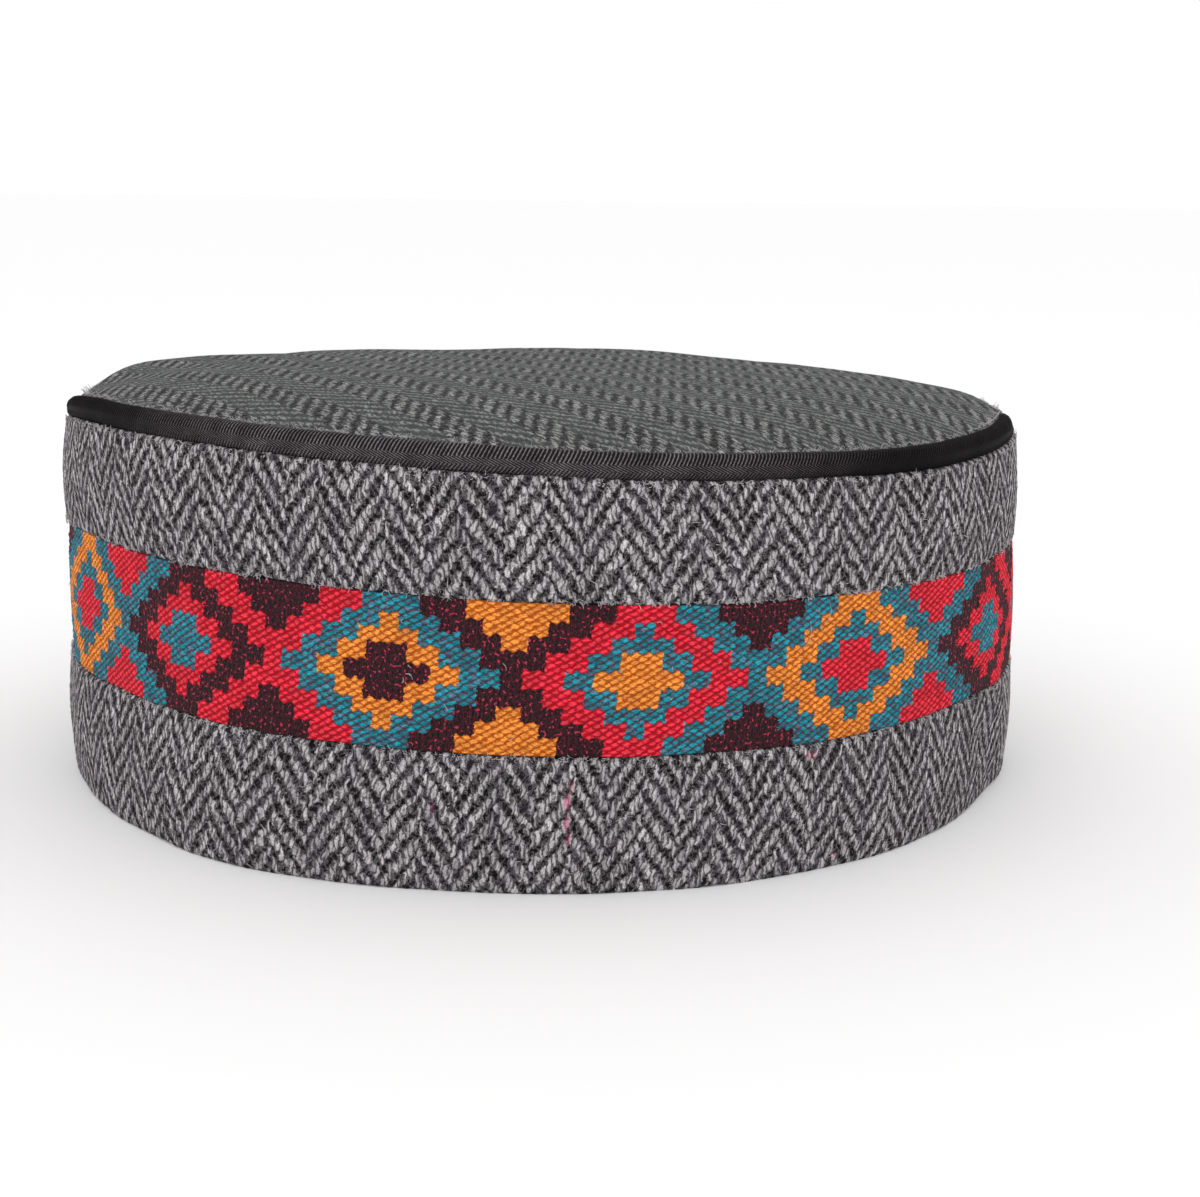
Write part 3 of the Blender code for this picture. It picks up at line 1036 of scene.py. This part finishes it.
def lining_material(name, cloth):
    """Plain weave lining inside the cap."""
    r = Recipe(name)
    place = r.object_place()
    grain = r.noise(place, 1400.0, 2.0, 0.6, flat=False)
    slow = r.noise(place, 60.0, 3.0, 0.6, flat=False)
    colour = r.shade(cloth.lining[:], r.add(r.over(grain, 0.7, 0.3), r.times(slow, 0.7)))
    return r.finish(colour, 0.95, r.bumped(grain, 0.00012), 0.1, 0.2)


def wool_material(name, cloth):
    """Light wool that is duller in places."""
    r = Recipe(name)
    slow = r.noise(r.object_place(), 500.0, 2.0, 0.6, flat=False)
    colour = r.shade(cloth.light_yarn[:], r.over(slow, 1.4, 0.25))
    return r.finish(colour, 0.95, r.bumped(slow, 0.00001), 0.0, 0.1)


# The stage


def floor_material(stage):
    """A plain pale floor."""
    r = Recipe("pale_floor")
    r.shader.inputs["Base Color"].default_value = (*stage.floor_colour[:], 1.0)
    r.shader.inputs["Roughness"].default_value = 0.9
    return r.material


def soft_light(name, place, power):
    """A square soft light that faces the cap."""
    lamp = bpy.data.lights.new(name, "AREA")
    lamp.shape = "SQUARE"
    lamp.size = LIGHT_SIZE
    lamp.energy = power
    light = bpy.data.objects.new(name, lamp)
    bpy.context.scene.collection.objects.link(light)
    light.location = place
    ahead = Vector(LIGHT_TARGET) - Vector(place)
    light.rotation_euler = ahead.to_track_quat("-Z", "Y").to_euler()


def camera_matrix(stage):
    """The camera's place and turn: level with +X, looking along +Y and down, rolled a little."""
    down = stage.camera_down
    ahead = Vector((0.0, cos(down), -sin(down)))
    upward = Vector((0.0, sin(down), cos(down)))
    right = Vector((1.0, 0.0, 0.0))
    roll = stage.camera_roll
    side = right * cos(roll) + upward * sin(roll)
    top = upward * cos(roll) - right * sin(roll)
    place = Vector(stage.camera_target) - ahead * stage.camera_distance
    matrix = Matrix((side, top, -ahead)).transposed().to_4x4()
    matrix.translation = place
    return matrix


# Settings


class CapClothSettings(bpy.types.PropertyGroup):
    """The cap's yarns and how deep its threads stand."""

    light_yarn: colour_property("Light yarn", "Tweed threads that run up the wall", (205, 199, 202))
    dark_yarn: colour_property("Dark yarn", "Tweed threads that run round the wall", (43, 36, 40))
    crown_light: colour_property("Crown light yarn", "Light threads of the crown's tweed", (180, 180, 179))
    red_yarn: colour_property("Red yarn", "Red of the patterned band", (232, 24, 56))
    teal_yarn: colour_property("Teal yarn", "Teal of the patterned band", (22, 134, 150))
    orange_yarn: colour_property("Orange yarn", "Orange of the patterned band", (246, 146, 50))
    black_yarn: colour_property("Black yarn", "Ground of the patterned band", (32, 24, 26))
    band_ground: colour_property("Band ground", "Maroon yarn behind the stitches", (104, 22, 44))
    speck: colour_property("Specks", "Pink specks in the black ground", (208, 62, 94))
    odd_stitch: colour_property("Odd stitches", "Violet fibres among the teal", (108, 74, 102))
    # Painted highlight on the backs of the stitches
    stitch_highlight: colour_property("Thread shine", "Light on the backs of the stitches", (255, 214, 196))
    binding: colour_property("Binding", "Black twill of the binding", (13, 11, 12))
    # Painted sheen: the colour that the backs of the binding's ribs are lit to
    binding_sheen: colour_property("Binding ribs", "Worn backs of the binding's ribs", (146, 138, 142))
    lining: colour_property("Lining", "Plain cloth inside the cap", (62, 60, 63))
    wall_tint: colour_property("Wall tint", "Faint violet flecks in the wall's tweed", (108, 100, 120))
    crown_tint: colour_property("Crown tint", "Faint green flecks in the crown's tweed", (99, 103, 102))
    stain: colour_property("Stain", "Pink dye on the lower strip's light threads", (212, 118, 150))
    stain_dark: colour_property("Dark stain", "Pink dye on its dark threads", (112, 38, 64))
    thread_relief: length_property("Thread relief", "How far a tweed thread rises and sinks", 0.00011)
    stitch_relief: length_property("Stitch relief", "How far a band stitch stands out", 0.00034)
    rib_relief: length_property("Rib relief", "How far a binding rib stands out", 0.00005)


class CapStageSettings(bpy.types.PropertyGroup):
    """The floor, the lights and the camera."""

    floor_colour: colour_property("Floor", "Plain pale floor", (253, 253, 253))
    floor_size: length_property("Floor size", "Side of the square floor", 12.0)
    key_power: number_property("Front light", "Power of the big front light", 1.8, unit="POWER")
    top_power: number_property("Top light", "Power of the light above", 0.4, unit="POWER")
    sky: number_property("Sky", "Brightness of the white all round", 1.0, min=0.0)
    camera_down: number_property("Camera down", "How far it looks down", 0.1982, subtype="ANGLE")
    camera_roll: number_property("Camera roll", "Turn about the view", 0.0134, subtype="ANGLE")
    camera_distance: length_property("Camera distance", "From the target to the camera", 0.4483)
    camera_lens: number_property("Lens", "Focal length on a 36 mm sensor", 65.5)
    camera_target: FloatVectorProperty(
        name="Target",
        description="Where the camera looks",
        default=(0.01162, 0.0006, 0.03078),
        unit="LENGTH",
    )


class CapDetailSettings(bpy.types.PropertyGroup):
    """How finely the surfaces are divided."""

    end_steps: count_property("Steps per end", "Columns for each tweed thread", 2, 1, 2)
    rib_steps: count_property("Steps per rib", "Columns for each binding rib", 4, 2, 4)
    crown_rings: count_property("Crown rings", "Rings from middle to edge", 130, 20, 150)
    crown_columns: count_property("Crown columns", "Divisions round", 600, 80, 640)
    wool_fibres: count_property("Loose fibres", "How many loose wool fibres", 5200, 100, 9000)
    wool_thickness: length_property("Fibre thickness", "Thickness of a loose fibre at its root", 0.00014)


# Pieces


def known_threads(threads, arcs, pitch):
    """Thread numbers and the places round the wall where they are known: those seen in the
    front, then both ends at the back, a whole number of threads away at an even pitch."""
    first = np.round(threads[0] - (arcs[0] - ARCS[0]) / pitch)
    last = np.round(threads[-1] + (ARCS[-1] - arcs[-1]) / pitch)
    return np.array((first, *threads, last), float), np.array((ARCS[0], *arcs, ARCS[-1]), float)


def tweed_strip(name, low, height, pick, peaks, pitch, lean, seed, cloth, detail, materials):
    """A strip of the wall. Places: threads counted round the wall give the direction, distance
    along the rounded section gives radius and height, and the herringbone stands out along the
    section's normal over the outer face. Threads wander a little in both directions."""
    peak_ends = COLUMN_ENDS + REPEAT_ENDS * np.arange(len(peaks))
    known_ends, known_arcs = known_threads(peak_ends, peaks, pitch)
    path, reach, marks = rounded_section(
        low, height, 0.0, TWEED_THICKNESS, STRIP_BULGE, TWEED_OUTER_ROUND, TWEED_INNER_ROUND
    )
    at, first, last = section_rows(marks, pick / 2)
    at_closed = np.append(at, reach[-1])
    columns = int(known_ends[-1] - known_ends[0]) * detail.end_steps
    ends = known_ends[0] + np.arange(columns + 1) / detail.end_steps
    picks = (at_closed - marks[2]) / pick
    across, up = np.meshgrid(ends[:-1], picks[:-1], indexing="ij")
    on_face = np.zeros(len(at))
    on_face[first : last + 1] = 1.0
    on_face[first] = on_face[last] = 0.3
    wander = smooth_noise(across / 5, up / 4, seed)
    wander = wander + 0.5 * smooth_noise(across / 1.7, up / 1.5, seed + 1)
    wander_up = smooth_noise(across / 4, up / 5, seed + 2)
    wander_up = wander_up + 0.5 * smooth_noise(across / 1.6, up / 1.7, seed + 3)
    distance = at[None, :] + WANDER_UP * wander_up * on_face
    radius, level, out, rise = along_section(path, reach, distance)
    relief = cloth.thread_relief * softened(herringbone_height, across, up)
    relief = (relief + TWEED_LUMPS * smooth_noise(across / 1.3, up / 1.3, seed + 4)) * on_face
    radius = radius + relief * out
    level = level + relief * rise
    edge = TWEED_WAVER * smooth_noise(across / 7, 0 * up, seed + 5)
    level = level + edge * np.clip(np.abs(level - low - height / 2) / (height / 2), 0, 1) ** 6
    level = np.maximum(level, 0.0)
    arc = np.interp(across, known_ends, known_arcs) + (lean * (level - low - height / 2)) / MM
    arc = arc + WANDER_ROUND * wander * on_face
    places = cap_form(direction_at(arc), radius, level)
    return wall_piece(name, places, ends, picks, at_closed, (first, last), materials)


def woven_band(name, cloth, materials):
    """The band. Places: stitches counted round the wall give the direction, and stitch_height
    stands out along the section's normal."""
    known_stitches, known_arcs = known_threads(*zip(*MOTIF_PLACES), STITCH / MM)
    low, height = BAND_LOW - BAND_TUCK, BAND_HEIGHT + 2 * BAND_TUCK
    path, reach, marks = rounded_section(
        low, height, BAND_RECESS, BAND_THICKNESS, 0.0, BAND_ROUND, BAND_ROUND
    )
    at, first, last = section_rows(marks, BAND_ROW)
    at_closed = np.append(at, reach[-1])
    columns = int(known_stitches[-1] - known_stitches[0]) * 2
    stitches = known_stitches[0] + np.arange(columns + 1) / 2
    rows = (at_closed - (marks[2] + marks[3]) / 2) / (BAND_HEIGHT / STITCH_ROWS)
    across, up = np.meshgrid(stitches[:-1], rows[:-1], indexing="ij")
    on_face = np.zeros(len(at))
    on_face[first : last + 1] = 1.0
    on_face[first : first + 2] = on_face[last - 1 : last + 1] = 0.2
    at_grid = np.broadcast_to(at[None, :], across.shape)
    radius, level, out, rise = along_section(path, reach, at_grid)
    relief = (stitch_height(across, up) - 0.6) * cloth.stitch_relief
    relief = (relief + BAND_LUMPS * smooth_noise(across / 1.5, up / 1.5, BAND_SEED)) * on_face
    radius = radius + relief * out
    level = level + relief * rise
    arc = np.interp(across, known_stitches, known_arcs)
    arc = arc + BAND_LEAN * (level - low - height / 2) / MM
    arc = arc + WANDER_ROUND * smooth_noise(across / 3, up / 3, BAND_SEED + 1) * on_face
    places = cap_form(direction_at(arc), radius, level)
    return wall_piece(name, places, stitches, rows, at_closed, (first, last), materials)


def ribbed_binding(name, cloth, detail, materials):
    """The binding, a tape wrapped into a tube round the rim. Places: from one edge of the tape,
    in the seam, round a superellipse to the other edge, then back along the tape's inner side.
    Ribs stand out along its normal over the upper and lower folds and lean as they rise."""
    ribs = int(round(ROUND_ONCE * MM / RIB))
    columns = ribs * detail.rib_steps
    numbers = np.arange(columns + 1) / detail.rib_steps
    middle_radius = RIM_RADIUS - BINDING_THICKNESS / 2
    middle_height = BINDING_LOW + BINDING_HEIGHT / 2

    def squared(part):
        return np.sign(part) * np.abs(part) ** (2 / BINDING_SQUARENESS)

    def wrapped(turn, inside):
        out, up = squared(np.cos(turn)), squared(np.sin(turn))
        wide, tall = BINDING_THICKNESS / 2 - inside, BINDING_HEIGHT / 2 + TAPE_SWELL - inside
        return np.stack((middle_radius + wide * out, middle_height + tall * up), axis=-1)

    dense = np.linspace(TAPE_SEAM - tau + TAPE_GAP, TAPE_SEAM - TAPE_GAP, 721)
    path = np.concatenate((wrapped(dense, 0.0), wrapped(dense[::-1], TAPE_THICKNESS)))
    path = np.concatenate((path, path[:1]))
    reach = path_reach(path)
    outside = reach[len(dense) - 1]
    at = np.concatenate((np.linspace(0, outside, 21), np.linspace(outside, reach[-1], 7)[1:]))
    numbers_grid, at_grid = np.meshgrid(numbers[:-1], at[:-1], indexing="ij")
    radius, level, out, rise = along_section(path, reach, at_grid)
    share = (level - middle_height) / (BINDING_HEIGHT / 2)
    folds = np.clip((share - 0.05) / 0.2, 0, 1) + np.clip((-0.35 - share) / 0.2, 0, 1)
    folds = folds * (at_grid < outside)
    relief = cloth.rib_relief * np.cos(tau * numbers_grid) * folds
    lumps = smooth_noise(numbers_grid / 9, at_grid / (3 * MM), BINDING_SEED)
    relief = relief + BINDING_LUMPS * lumps * (at_grid < outside)
    radius = radius + relief * out
    waver = smooth_noise(numbers_grid / 16, 0 * at_grid, BINDING_SEED + 1)
    level = level + relief * rise + BINDING_WAVER * waver
    slant = RIB_LEAN * (level - middle_height) / MM
    direction = direction_at(ARCS[0] + numbers_grid / ribs * ROUND_ONCE + slant)
    behind = eased(np.clip((np.sin(direction) + 0.3) / 0.3, 0, 1))
    fold_at, fold_spread, fold_down = END_FOLD
    folded = FRONT_FOLD + (BACK_FOLD - FRONT_FOLD) * behind
    folded = folded + fold_down * nearness(direction, fold_at, fold_spread)
    level = level - folded * (level - BINDING_LOW) / BINDING_HEIGHT
    lean_at, lean_spread, lean_in = END_LEAN
    leaning = nearness(direction, lean_at, lean_spread)
    radius = radius - lean_in * leaning * (level - BINDING_LOW) / BINDING_HEIGHT
    places = cap_form(direction, radius, level)
    front = np.searchsorted(at, outside * 0.30)
    up_mm = (at - np.interp(0.0, dense, reach[: len(dense)])) / MM
    fine = (front - 4, front + 11)
    return ring_piece(name, places, numbers, up_mm, at / MM, 6, fine, materials)


def crown_level(direction, radius):
    """The crown's upper face: its edge's height plus the puff times 1 less a power of the share
    of the radius, then soft unevenness, and the shoulders that rise just inside the edge."""
    share = radius / (CROWN_RADIUS + CROWN_TUCK)
    fall = np.minimum(radius / CROWN_RADIUS, 1.0) ** PUFF_POWER
    level = CROWN_EDGE_HEIGHT + CROWN_FULLNESS * CROWN_PUFF * (1 - fall)
    level = level + crown_softness(direction, radius) * (1 - share**6)
    for at, spread, power, lift in CROWN_SHOULDERS:
        both = power + EDGE_POWER
        highest = (power / both) ** (power / EDGE_POWER) * EDGE_POWER / both
        near_edge = share**power * (1 - share**EDGE_POWER) / highest
        level = level + lift * near_edge * nearness(direction, at, spread)
    return level


def crown_softness(direction, radius):
    """The soft unevenness of the crown's cloth: two layers of slow noise across the disc."""
    x = radius * np.cos(direction) / CROWN_LUMP_SIZE
    y = radius * np.sin(direction) / CROWN_LUMP_SIZE
    slow = smooth_noise(x + 20, y + 20, CROWN_SEED)
    return CROWN_LUMPS * (slow + 0.5 * smooth_noise(2 * x + 20, 2 * y + 20, CROWN_SEED + 1))


def puffed_crown(name, detail, materials):
    """The crown. Places: rings of a share of the radius, as high as the edge plus the puff times
    1 less the share to a power; then round the edge and back along the underside. Both middles
    are single points."""
    crowding = pi / 2 * RING_CROWDING
    share = np.sin(np.linspace(0, 1, detail.crown_rings + 1)[1:] * crowding) / sin(crowding)
    edge_radius = CROWN_RADIUS + CROWN_TUCK
    top_radius = share * edge_radius
    under_radius = np.linspace(1, 0, UNDER_RINGS + 1)[:-1] * edge_radius
    count = detail.crown_columns
    direction = -pi / 2 + tau * np.arange(count) / count
    rings_out = np.concatenate((top_radius, under_radius))
    direction, radius = np.meshgrid(direction, rings_out, indexing="ij")
    below = np.where(np.arange(radius.shape[1]) < len(top_radius), 0.0, CROWN_THICKNESS)
    rings = cap_form(direction, radius, crown_level(direction, radius) - below)
    middle = crown_level(np.zeros(2), np.zeros(2)) - np.array((0.0, CROWN_THICKNESS))
    poles = cap_form(np.zeros(2), np.zeros(2), middle)
    places = np.concatenate((rings.reshape(-1, 3), poles))
    per_column = radius.shape[1]
    number = np.arange(count * per_column).reshape(count, per_column)
    beside = np.roll(number, -1, axis=0)
    corners = (number[:, 1:], beside[:, 1:], beside[:, :-1], number[:, :-1])
    quads = np.stack(corners, axis=-1).reshape(-1, 4)
    top_pole, under_pole = count * per_column, count * per_column + 1
    top_fan = np.stack((number[:, 0], beside[:, 0], np.full(count, top_pole)), axis=-1)
    under_fan = np.stack((beside[:, -1], number[:, -1], np.full(count, under_pole)), axis=-1)
    mesh = bpy.data.meshes.new(name)
    faces = quads.tolist() + top_fan.tolist() + under_fan.tolist()
    mesh.from_pydata(places, [], faces)
    under = np.zeros(len(faces), np.int32)
    lower = np.zeros((count, per_column - 1), np.int32)
    lower[:, detail.crown_rings :] = 1
    under[: len(quads)] = lower.ravel()
    under[len(quads) + count :] = 1
    mesh.polygons.foreach_set("material_index", under)
    crown_maps(mesh, places, under)
    return finished_piece(name, mesh, materials)


def crown_maps(mesh, places, under):
    """The crown's maps: threads across the disc on the bias, and two discs side by side for
    baking, one for the top and one for the faces underneath."""
    corner = np.empty(len(mesh.loops), np.int32)
    mesh.loops.foreach_get("vertex_index", corner)
    flat = places[corner, :2]
    turn = CROWN_CLOTH_TURN
    ends = (flat[:, 0] * cos(turn) + flat[:, 1] * sin(turn)) / CROWN_END
    picks = (flat[:, 1] * cos(turn) - flat[:, 0] * sin(turn)) / CROWN_PICK
    set_map(mesh, CLOTH_MAP, np.stack((ends, picks), axis=-1))
    sides = np.empty(len(mesh.polygons), np.int32)
    mesh.polygons.foreach_get("loop_total", sides)
    corner_under = np.repeat(under, sides).astype(bool)
    reach = np.abs(places[:, :2]).max()
    top_map = TOP_DISC[0] + TOP_DISC[1] * flat / reach
    under_map = UNDER_DISC[0] + UNDER_DISC[1] * flat / reach
    set_map(mesh, BAKE_MAP, np.where(corner_under[:, None], under_map, top_map))


def wool_starts(detail):
    """Where the loose fibres start and how they lie. Columns: millimetres round the wall, height
    on it or millimetres in from the crown's edge, way they head (0 is round the wall, a quarter
    turn is up), length, lift and curl. Also how many of them, the last ones, are on the crown."""
    rng = np.random.default_rng(WOOL_SEED)
    rows = []
    for share, low, high, head, head_spread, longest in WOOL_PLACES:
        count = int(detail.wool_fibres * share)
        clumps = rng.uniform(ARCS[0], ARCS[-1], max(count // 3, 1))
        arc = clumps[rng.integers(0, len(clumps), count)] + rng.normal(0, 0.5, count)
        height = low + (high - low) * rng.uniform(0, 1, count)
        heading = radians(head) + radians(head_spread) * rng.normal(0, 1, count)
        length = longest * (0.35 + 0.65 * rng.uniform(0, 1, count))
        lift = length * rng.uniform(0.04, 0.18, count)
        rows.append(np.stack((arc, height, heading, length, lift, rng.normal(0, 1.8, count)), axis=-1))
    rows.append(np.array(LONG_HAIRS, float))
    return np.concatenate((*rows[1:], rows[0])), len(rows[0])


def wool_path(starts, on_crown, along):
    """Places along each fibre: from a root inside the cloth it heads off over the face, curls
    and lifts off in the middle. On the crown it climbs over the binding's inner edge."""
    arc, height, heading, length, lift, curl = (starts[:, None, column] for column in range(6))
    turned = heading + curl * along
    bend = np.where(np.abs(curl) < 0.02, 0.02, curl)
    ahead = length * (np.sin(turned) - np.sin(heading)) / bend
    aside = length * (np.cos(heading) - np.cos(turned)) / bend
    arc = arc + ahead / MM
    off = lift * np.sin(pi * 0.85 * along) + 0.08 * MM - 0.5 * MM * (1 - along) ** 6
    direction = direction_at(arc)
    level = height + aside
    lower_share = np.clip(level / LOWER_STRIP_HEIGHT, 0, 1)
    upper_share = np.clip((level - UPPER_LOW) / UPPER_STRIP_HEIGHT, 0, 1)
    bulge = STRIP_BULGE * (np.sin(pi * lower_share) + np.sin(pi * upper_share))
    wall = cap_form(direction, wall_radius(level) + bulge + off, np.maximum(level, 0.1 * MM))
    radius = CROWN_RADIUS - height + aside
    climb = CROWN_EDGE_DROP * np.clip((radius - CROWN_RADIUS) / (0.6 * MM) + 0.4, 0, 1)
    level = crown_level(direction, np.minimum(radius, CROWN_RADIUS)) + off + climb
    crown = cap_form(direction, radius, level)
    return np.where(on_crown[:, None, None], crown, wall)


def loose_wool(name, detail, material):
    """Loose fibres as thin closed tubes of three sides. Places: each fibre's path, plus a small
    circle round it in the two directions square to it, narrowing to its tip."""
    starts, crown_count = wool_starts(detail)
    count = len(starts)
    on_crown = np.arange(count) >= count - crown_count
    points = WOOL_SEGMENTS + 1
    along = np.linspace(0, 1, points)[None, :]
    path = wool_path(starts, on_crown, along)
    ahead = np.gradient(path, axis=1)
    ahead = ahead / np.linalg.norm(ahead, axis=2, keepdims=True)
    outward = path * (1.0, 1.0, 0.0) + (0.0, 0.0, 0.03)
    aside = np.cross(ahead, outward)
    aside = aside / np.linalg.norm(aside, axis=2, keepdims=True)
    square = np.cross(aside, ahead)
    turn = tau * np.arange(FIBRE_SIDES)[:, None] / FIBRE_SIDES
    size = detail.wool_thickness / 2 * np.linspace(1.0, 0.45, points)[None, :, None, None]
    ring = np.cos(turn) * aside[:, :, None, :] + np.sin(turn) * square[:, :, None, :]
    places = path[:, :, None, :] + size * ring
    number = np.arange(count * points * FIBRE_SIDES).reshape(count, points, FIBRE_SIDES)
    beside = np.roll(number, -1, axis=2)
    corners = (number[:, :-1], number[:, 1:], beside[:, 1:], beside[:, :-1])
    sides = np.stack(corners, axis=-1).reshape(-1, 4)
    ends = np.concatenate((number[:, 0], number[:, -1, ::-1]))
    mesh = bpy.data.meshes.new(name)
    mesh.from_pydata(places.reshape(-1, 3), [], sides.tolist() + ends.tolist())
    # Each fibre has its own cell of the bake map, its sides below and its ends at the top
    cells = int(np.ceil(np.sqrt(count)))
    cell = np.stack((np.arange(count) % cells, np.arange(count) // cells), axis=-1)
    column, row = np.meshgrid(np.arange(FIBRE_SIDES), np.arange(points - 1), indexing="xy")
    corner = np.array(((0, 0), (0, 1), (1, 1), (1, 0)))
    side_map = np.stack((column, row), axis=-1)[:, :, None, :] + corner
    side_map = 0.05 + side_map * (0.3, 0.75 / (points - 1))
    side_map = (cell[:, None, None, None, :] + side_map) / cells
    end_map = np.array(((0.05, 0.85), (0.35, 0.85), (0.2, 0.95)))
    end_map = (np.concatenate((cell, cell + (0.4, 0.0)))[:, None, :] + end_map) / cells
    set_map(mesh, BAKE_MAP, np.concatenate((side_map.reshape(-1, 2), end_map.reshape(-1, 2))))
    return finished_piece(name, mesh, (material,))


# Operators


class CAP_OT_tweed_strips(bpy.types.Operator):
    """Makes the two tweed strips of the wall"""

    bl_idname = "kullu_cap.tweed_strips"
    bl_label = "Tweed strips"

    def execute(self, context):
        cloth, detail = context.scene.cap_cloth, context.scene.cap_detail
        lining = lining_material("inner_lining", cloth)
        looks = (cloth, cloth.light_yarn[:], cloth.wall_tint[:], 0.0, 0.0, WALL_RELIEF)
        tweed = tweed_material("wall_tweed", *looks)
        stained = tweed_material("lower_wall_tweed", *looks, PINK_STAINS)
        lower_form = (0.0, LOWER_STRIP_HEIGHT, LOWER_PICK, LOWER_PEAKS, LOWER_PITCH, LOWER_LEAN)
        upper_height = UPPER_STRIP_HEIGHT + UPPER_TUCK
        upper_form = (UPPER_LOW, upper_height, UPPER_PICK, UPPER_PEAKS, UPPER_PITCH, UPPER_LEAN)
        settings = (cloth, detail)
        lower = tweed_strip(
            "lower_tweed_strip", *lower_form, LOWER_SEED, *settings, (stained, lining)
        )
        upper = tweed_strip(
            "upper_tweed_strip", *upper_form, UPPER_SEED, *settings, (tweed, lining)
        )
        stands_for("lower_strip")
        stands_for("upper_strip")
        return {"FINISHED"}


class CAP_OT_patterned_band(bpy.types.Operator):
    """Makes the woven band of stepped diamonds"""

    bl_idname = "kullu_cap.patterned_band"
    bl_label = "Patterned band"

    def execute(self, context):
        cloth = context.scene.cap_cloth
        lining = lining_material("inner_lining", cloth)
        materials = (band_material("patterned_weave", cloth), lining)
        band = woven_band("woven_band", cloth, materials)
        stands_for("patterned_band")
        return {"FINISHED"}


class CAP_OT_crown_binding(bpy.types.Operator):
    """Makes the folded black binding round the crown's edge"""

    bl_idname = "kullu_cap.crown_binding"
    bl_label = "Crown binding"

    def execute(self, context):
        cloth, detail = context.scene.cap_cloth, context.scene.cap_detail
        materials = (binding_material("black_twill", cloth),)
        binding = ribbed_binding("ribbed_binding", cloth, detail, materials)
        stands_for("crown_binding")
        return {"FINISHED"}


class CAP_OT_crown_top(bpy.types.Operator):
    """Makes the puffed tweed crown"""

    bl_idname = "kullu_cap.crown_top"
    bl_label = "Crown"

    def execute(self, context):
        cloth, detail = context.scene.cap_cloth, context.scene.cap_detail
        looks = (cloth, cloth.crown_light[:], cloth.crown_tint[:], CROWN_VEIL, CROWN_NAP)
        tweed = tweed_material("crown_tweed", *looks, CROWN_RELIEF)
        crown = puffed_crown("puffed_crown", detail, (tweed, lining_material("inner_lining", cloth)))
        stands_for("crown_top")
        return {"FINISHED"}


class CAP_OT_loose_wool(bpy.types.Operator):
    """Makes the loose fibres along the seams and over the tweed"""

    bl_idname = "kullu_cap.loose_wool"
    bl_label = "Loose wool"

    def execute(self, context):
        cloth, detail = context.scene.cap_cloth, context.scene.cap_detail
        loose_wool("loose_wool", detail, wool_material("loose_fibres", cloth))
        return {"FINISHED"}


class CAP_OT_stage(bpy.types.Operator):
    """Makes the floor, the lights, the white surroundings and the camera"""

    bl_idname = "kullu_cap.stage"
    bl_label = "Stage"

    def execute(self, context):
        stage = context.scene.cap_stage
        half = stage.floor_size / 2
        mesh = bpy.data.meshes.new("floor")
        corners = np.array(((-1, -1, 0), (1, -1, 0), (1, 1, 0), (-1, 1, 0)), float) * half
        mesh.from_pydata(corners, [], [(0, 1, 2, 3)])
        mesh.materials.append(floor_material(stage))
        floor = bpy.data.objects.new("floor", mesh)
        context.scene.collection.objects.link(floor)
        soft_light("front_light", FRONT_LIGHT_PLACE, stage.key_power)
        soft_light("top_light", TOP_LIGHT_PLACE, stage.top_power)
        world = bpy.data.worlds.new("white_surroundings")
        world.use_nodes = True
        background = world.node_tree.nodes["Background"]
        background.inputs["Color"].default_value = (1.0, 1.0, 1.0, 1.0)
        background.inputs["Strength"].default_value = stage.sky
        context.scene.world = world
        camera_data = bpy.data.cameras.new("camera")
        camera_data.sensor_width = SENSOR_WIDTH
        camera_data.lens = stage.camera_lens
        camera_data.clip_start = NEAREST_SEEN
        camera = bpy.data.objects.new("camera", camera_data)
        context.scene.collection.objects.link(camera)
        camera.matrix_world = camera_matrix(stage)
        context.scene.camera = camera
        context.scene.view_settings.view_transform = "Standard"
        return {"FINISHED"}


class CAP_PT_panel(bpy.types.Panel):
    """The cap's pieces and settings"""

    bl_idname = "CAP_PT_panel"
    bl_label = "Kullu Cap"
    bl_space_type = "VIEW_3D"
    bl_region_type = "UI"
    bl_category = "Kullu Cap"

    def draw(self, context):
        for operator in OPERATORS:
            self.layout.operator(operator.bl_idname)
        for settings in (context.scene.cap_cloth, context.scene.cap_detail, context.scene.cap_stage):
            box = self.layout.box()
            for name in settings.__annotations__:
                box.prop(settings, name)


SETTINGS = (CapClothSettings, CapStageSettings, CapDetailSettings)
OPERATORS = (
    CAP_OT_tweed_strips,
    CAP_OT_patterned_band,
    CAP_OT_crown_binding,
    CAP_OT_crown_top,
    CAP_OT_loose_wool,
    CAP_OT_stage,
)


def register():
    """Adds the settings, the operators and the panel to Blender."""
    for each in (*SETTINGS, *OPERATORS, CAP_PT_panel):
        bpy.utils.register_class(each)
    bpy.types.Scene.cap_cloth = PointerProperty(type=CapClothSettings)
    bpy.types.Scene.cap_stage = PointerProperty(type=CapStageSettings)
    bpy.types.Scene.cap_detail = PointerProperty(type=CapDetailSettings)


def unregister():
    """Takes them all away again."""
    del bpy.types.Scene.cap_detail
    del bpy.types.Scene.cap_stage
    del bpy.types.Scene.cap_cloth
    for each in reversed((*SETTINGS, *OPERATORS, CAP_PT_panel)):
        bpy.utils.unregister_class(each)


def main():
    """Makes every piece and the stage."""
    register()
    bpy.ops.kullu_cap.tweed_strips()
    bpy.ops.kullu_cap.patterned_band()
    bpy.ops.kullu_cap.crown_binding()
    bpy.ops.kullu_cap.crown_top()
    bpy.ops.kullu_cap.loose_wool()
    bpy.ops.kullu_cap.stage()
    bpy.context.view_layer.update()


if __name__ == "__main__":
    main()
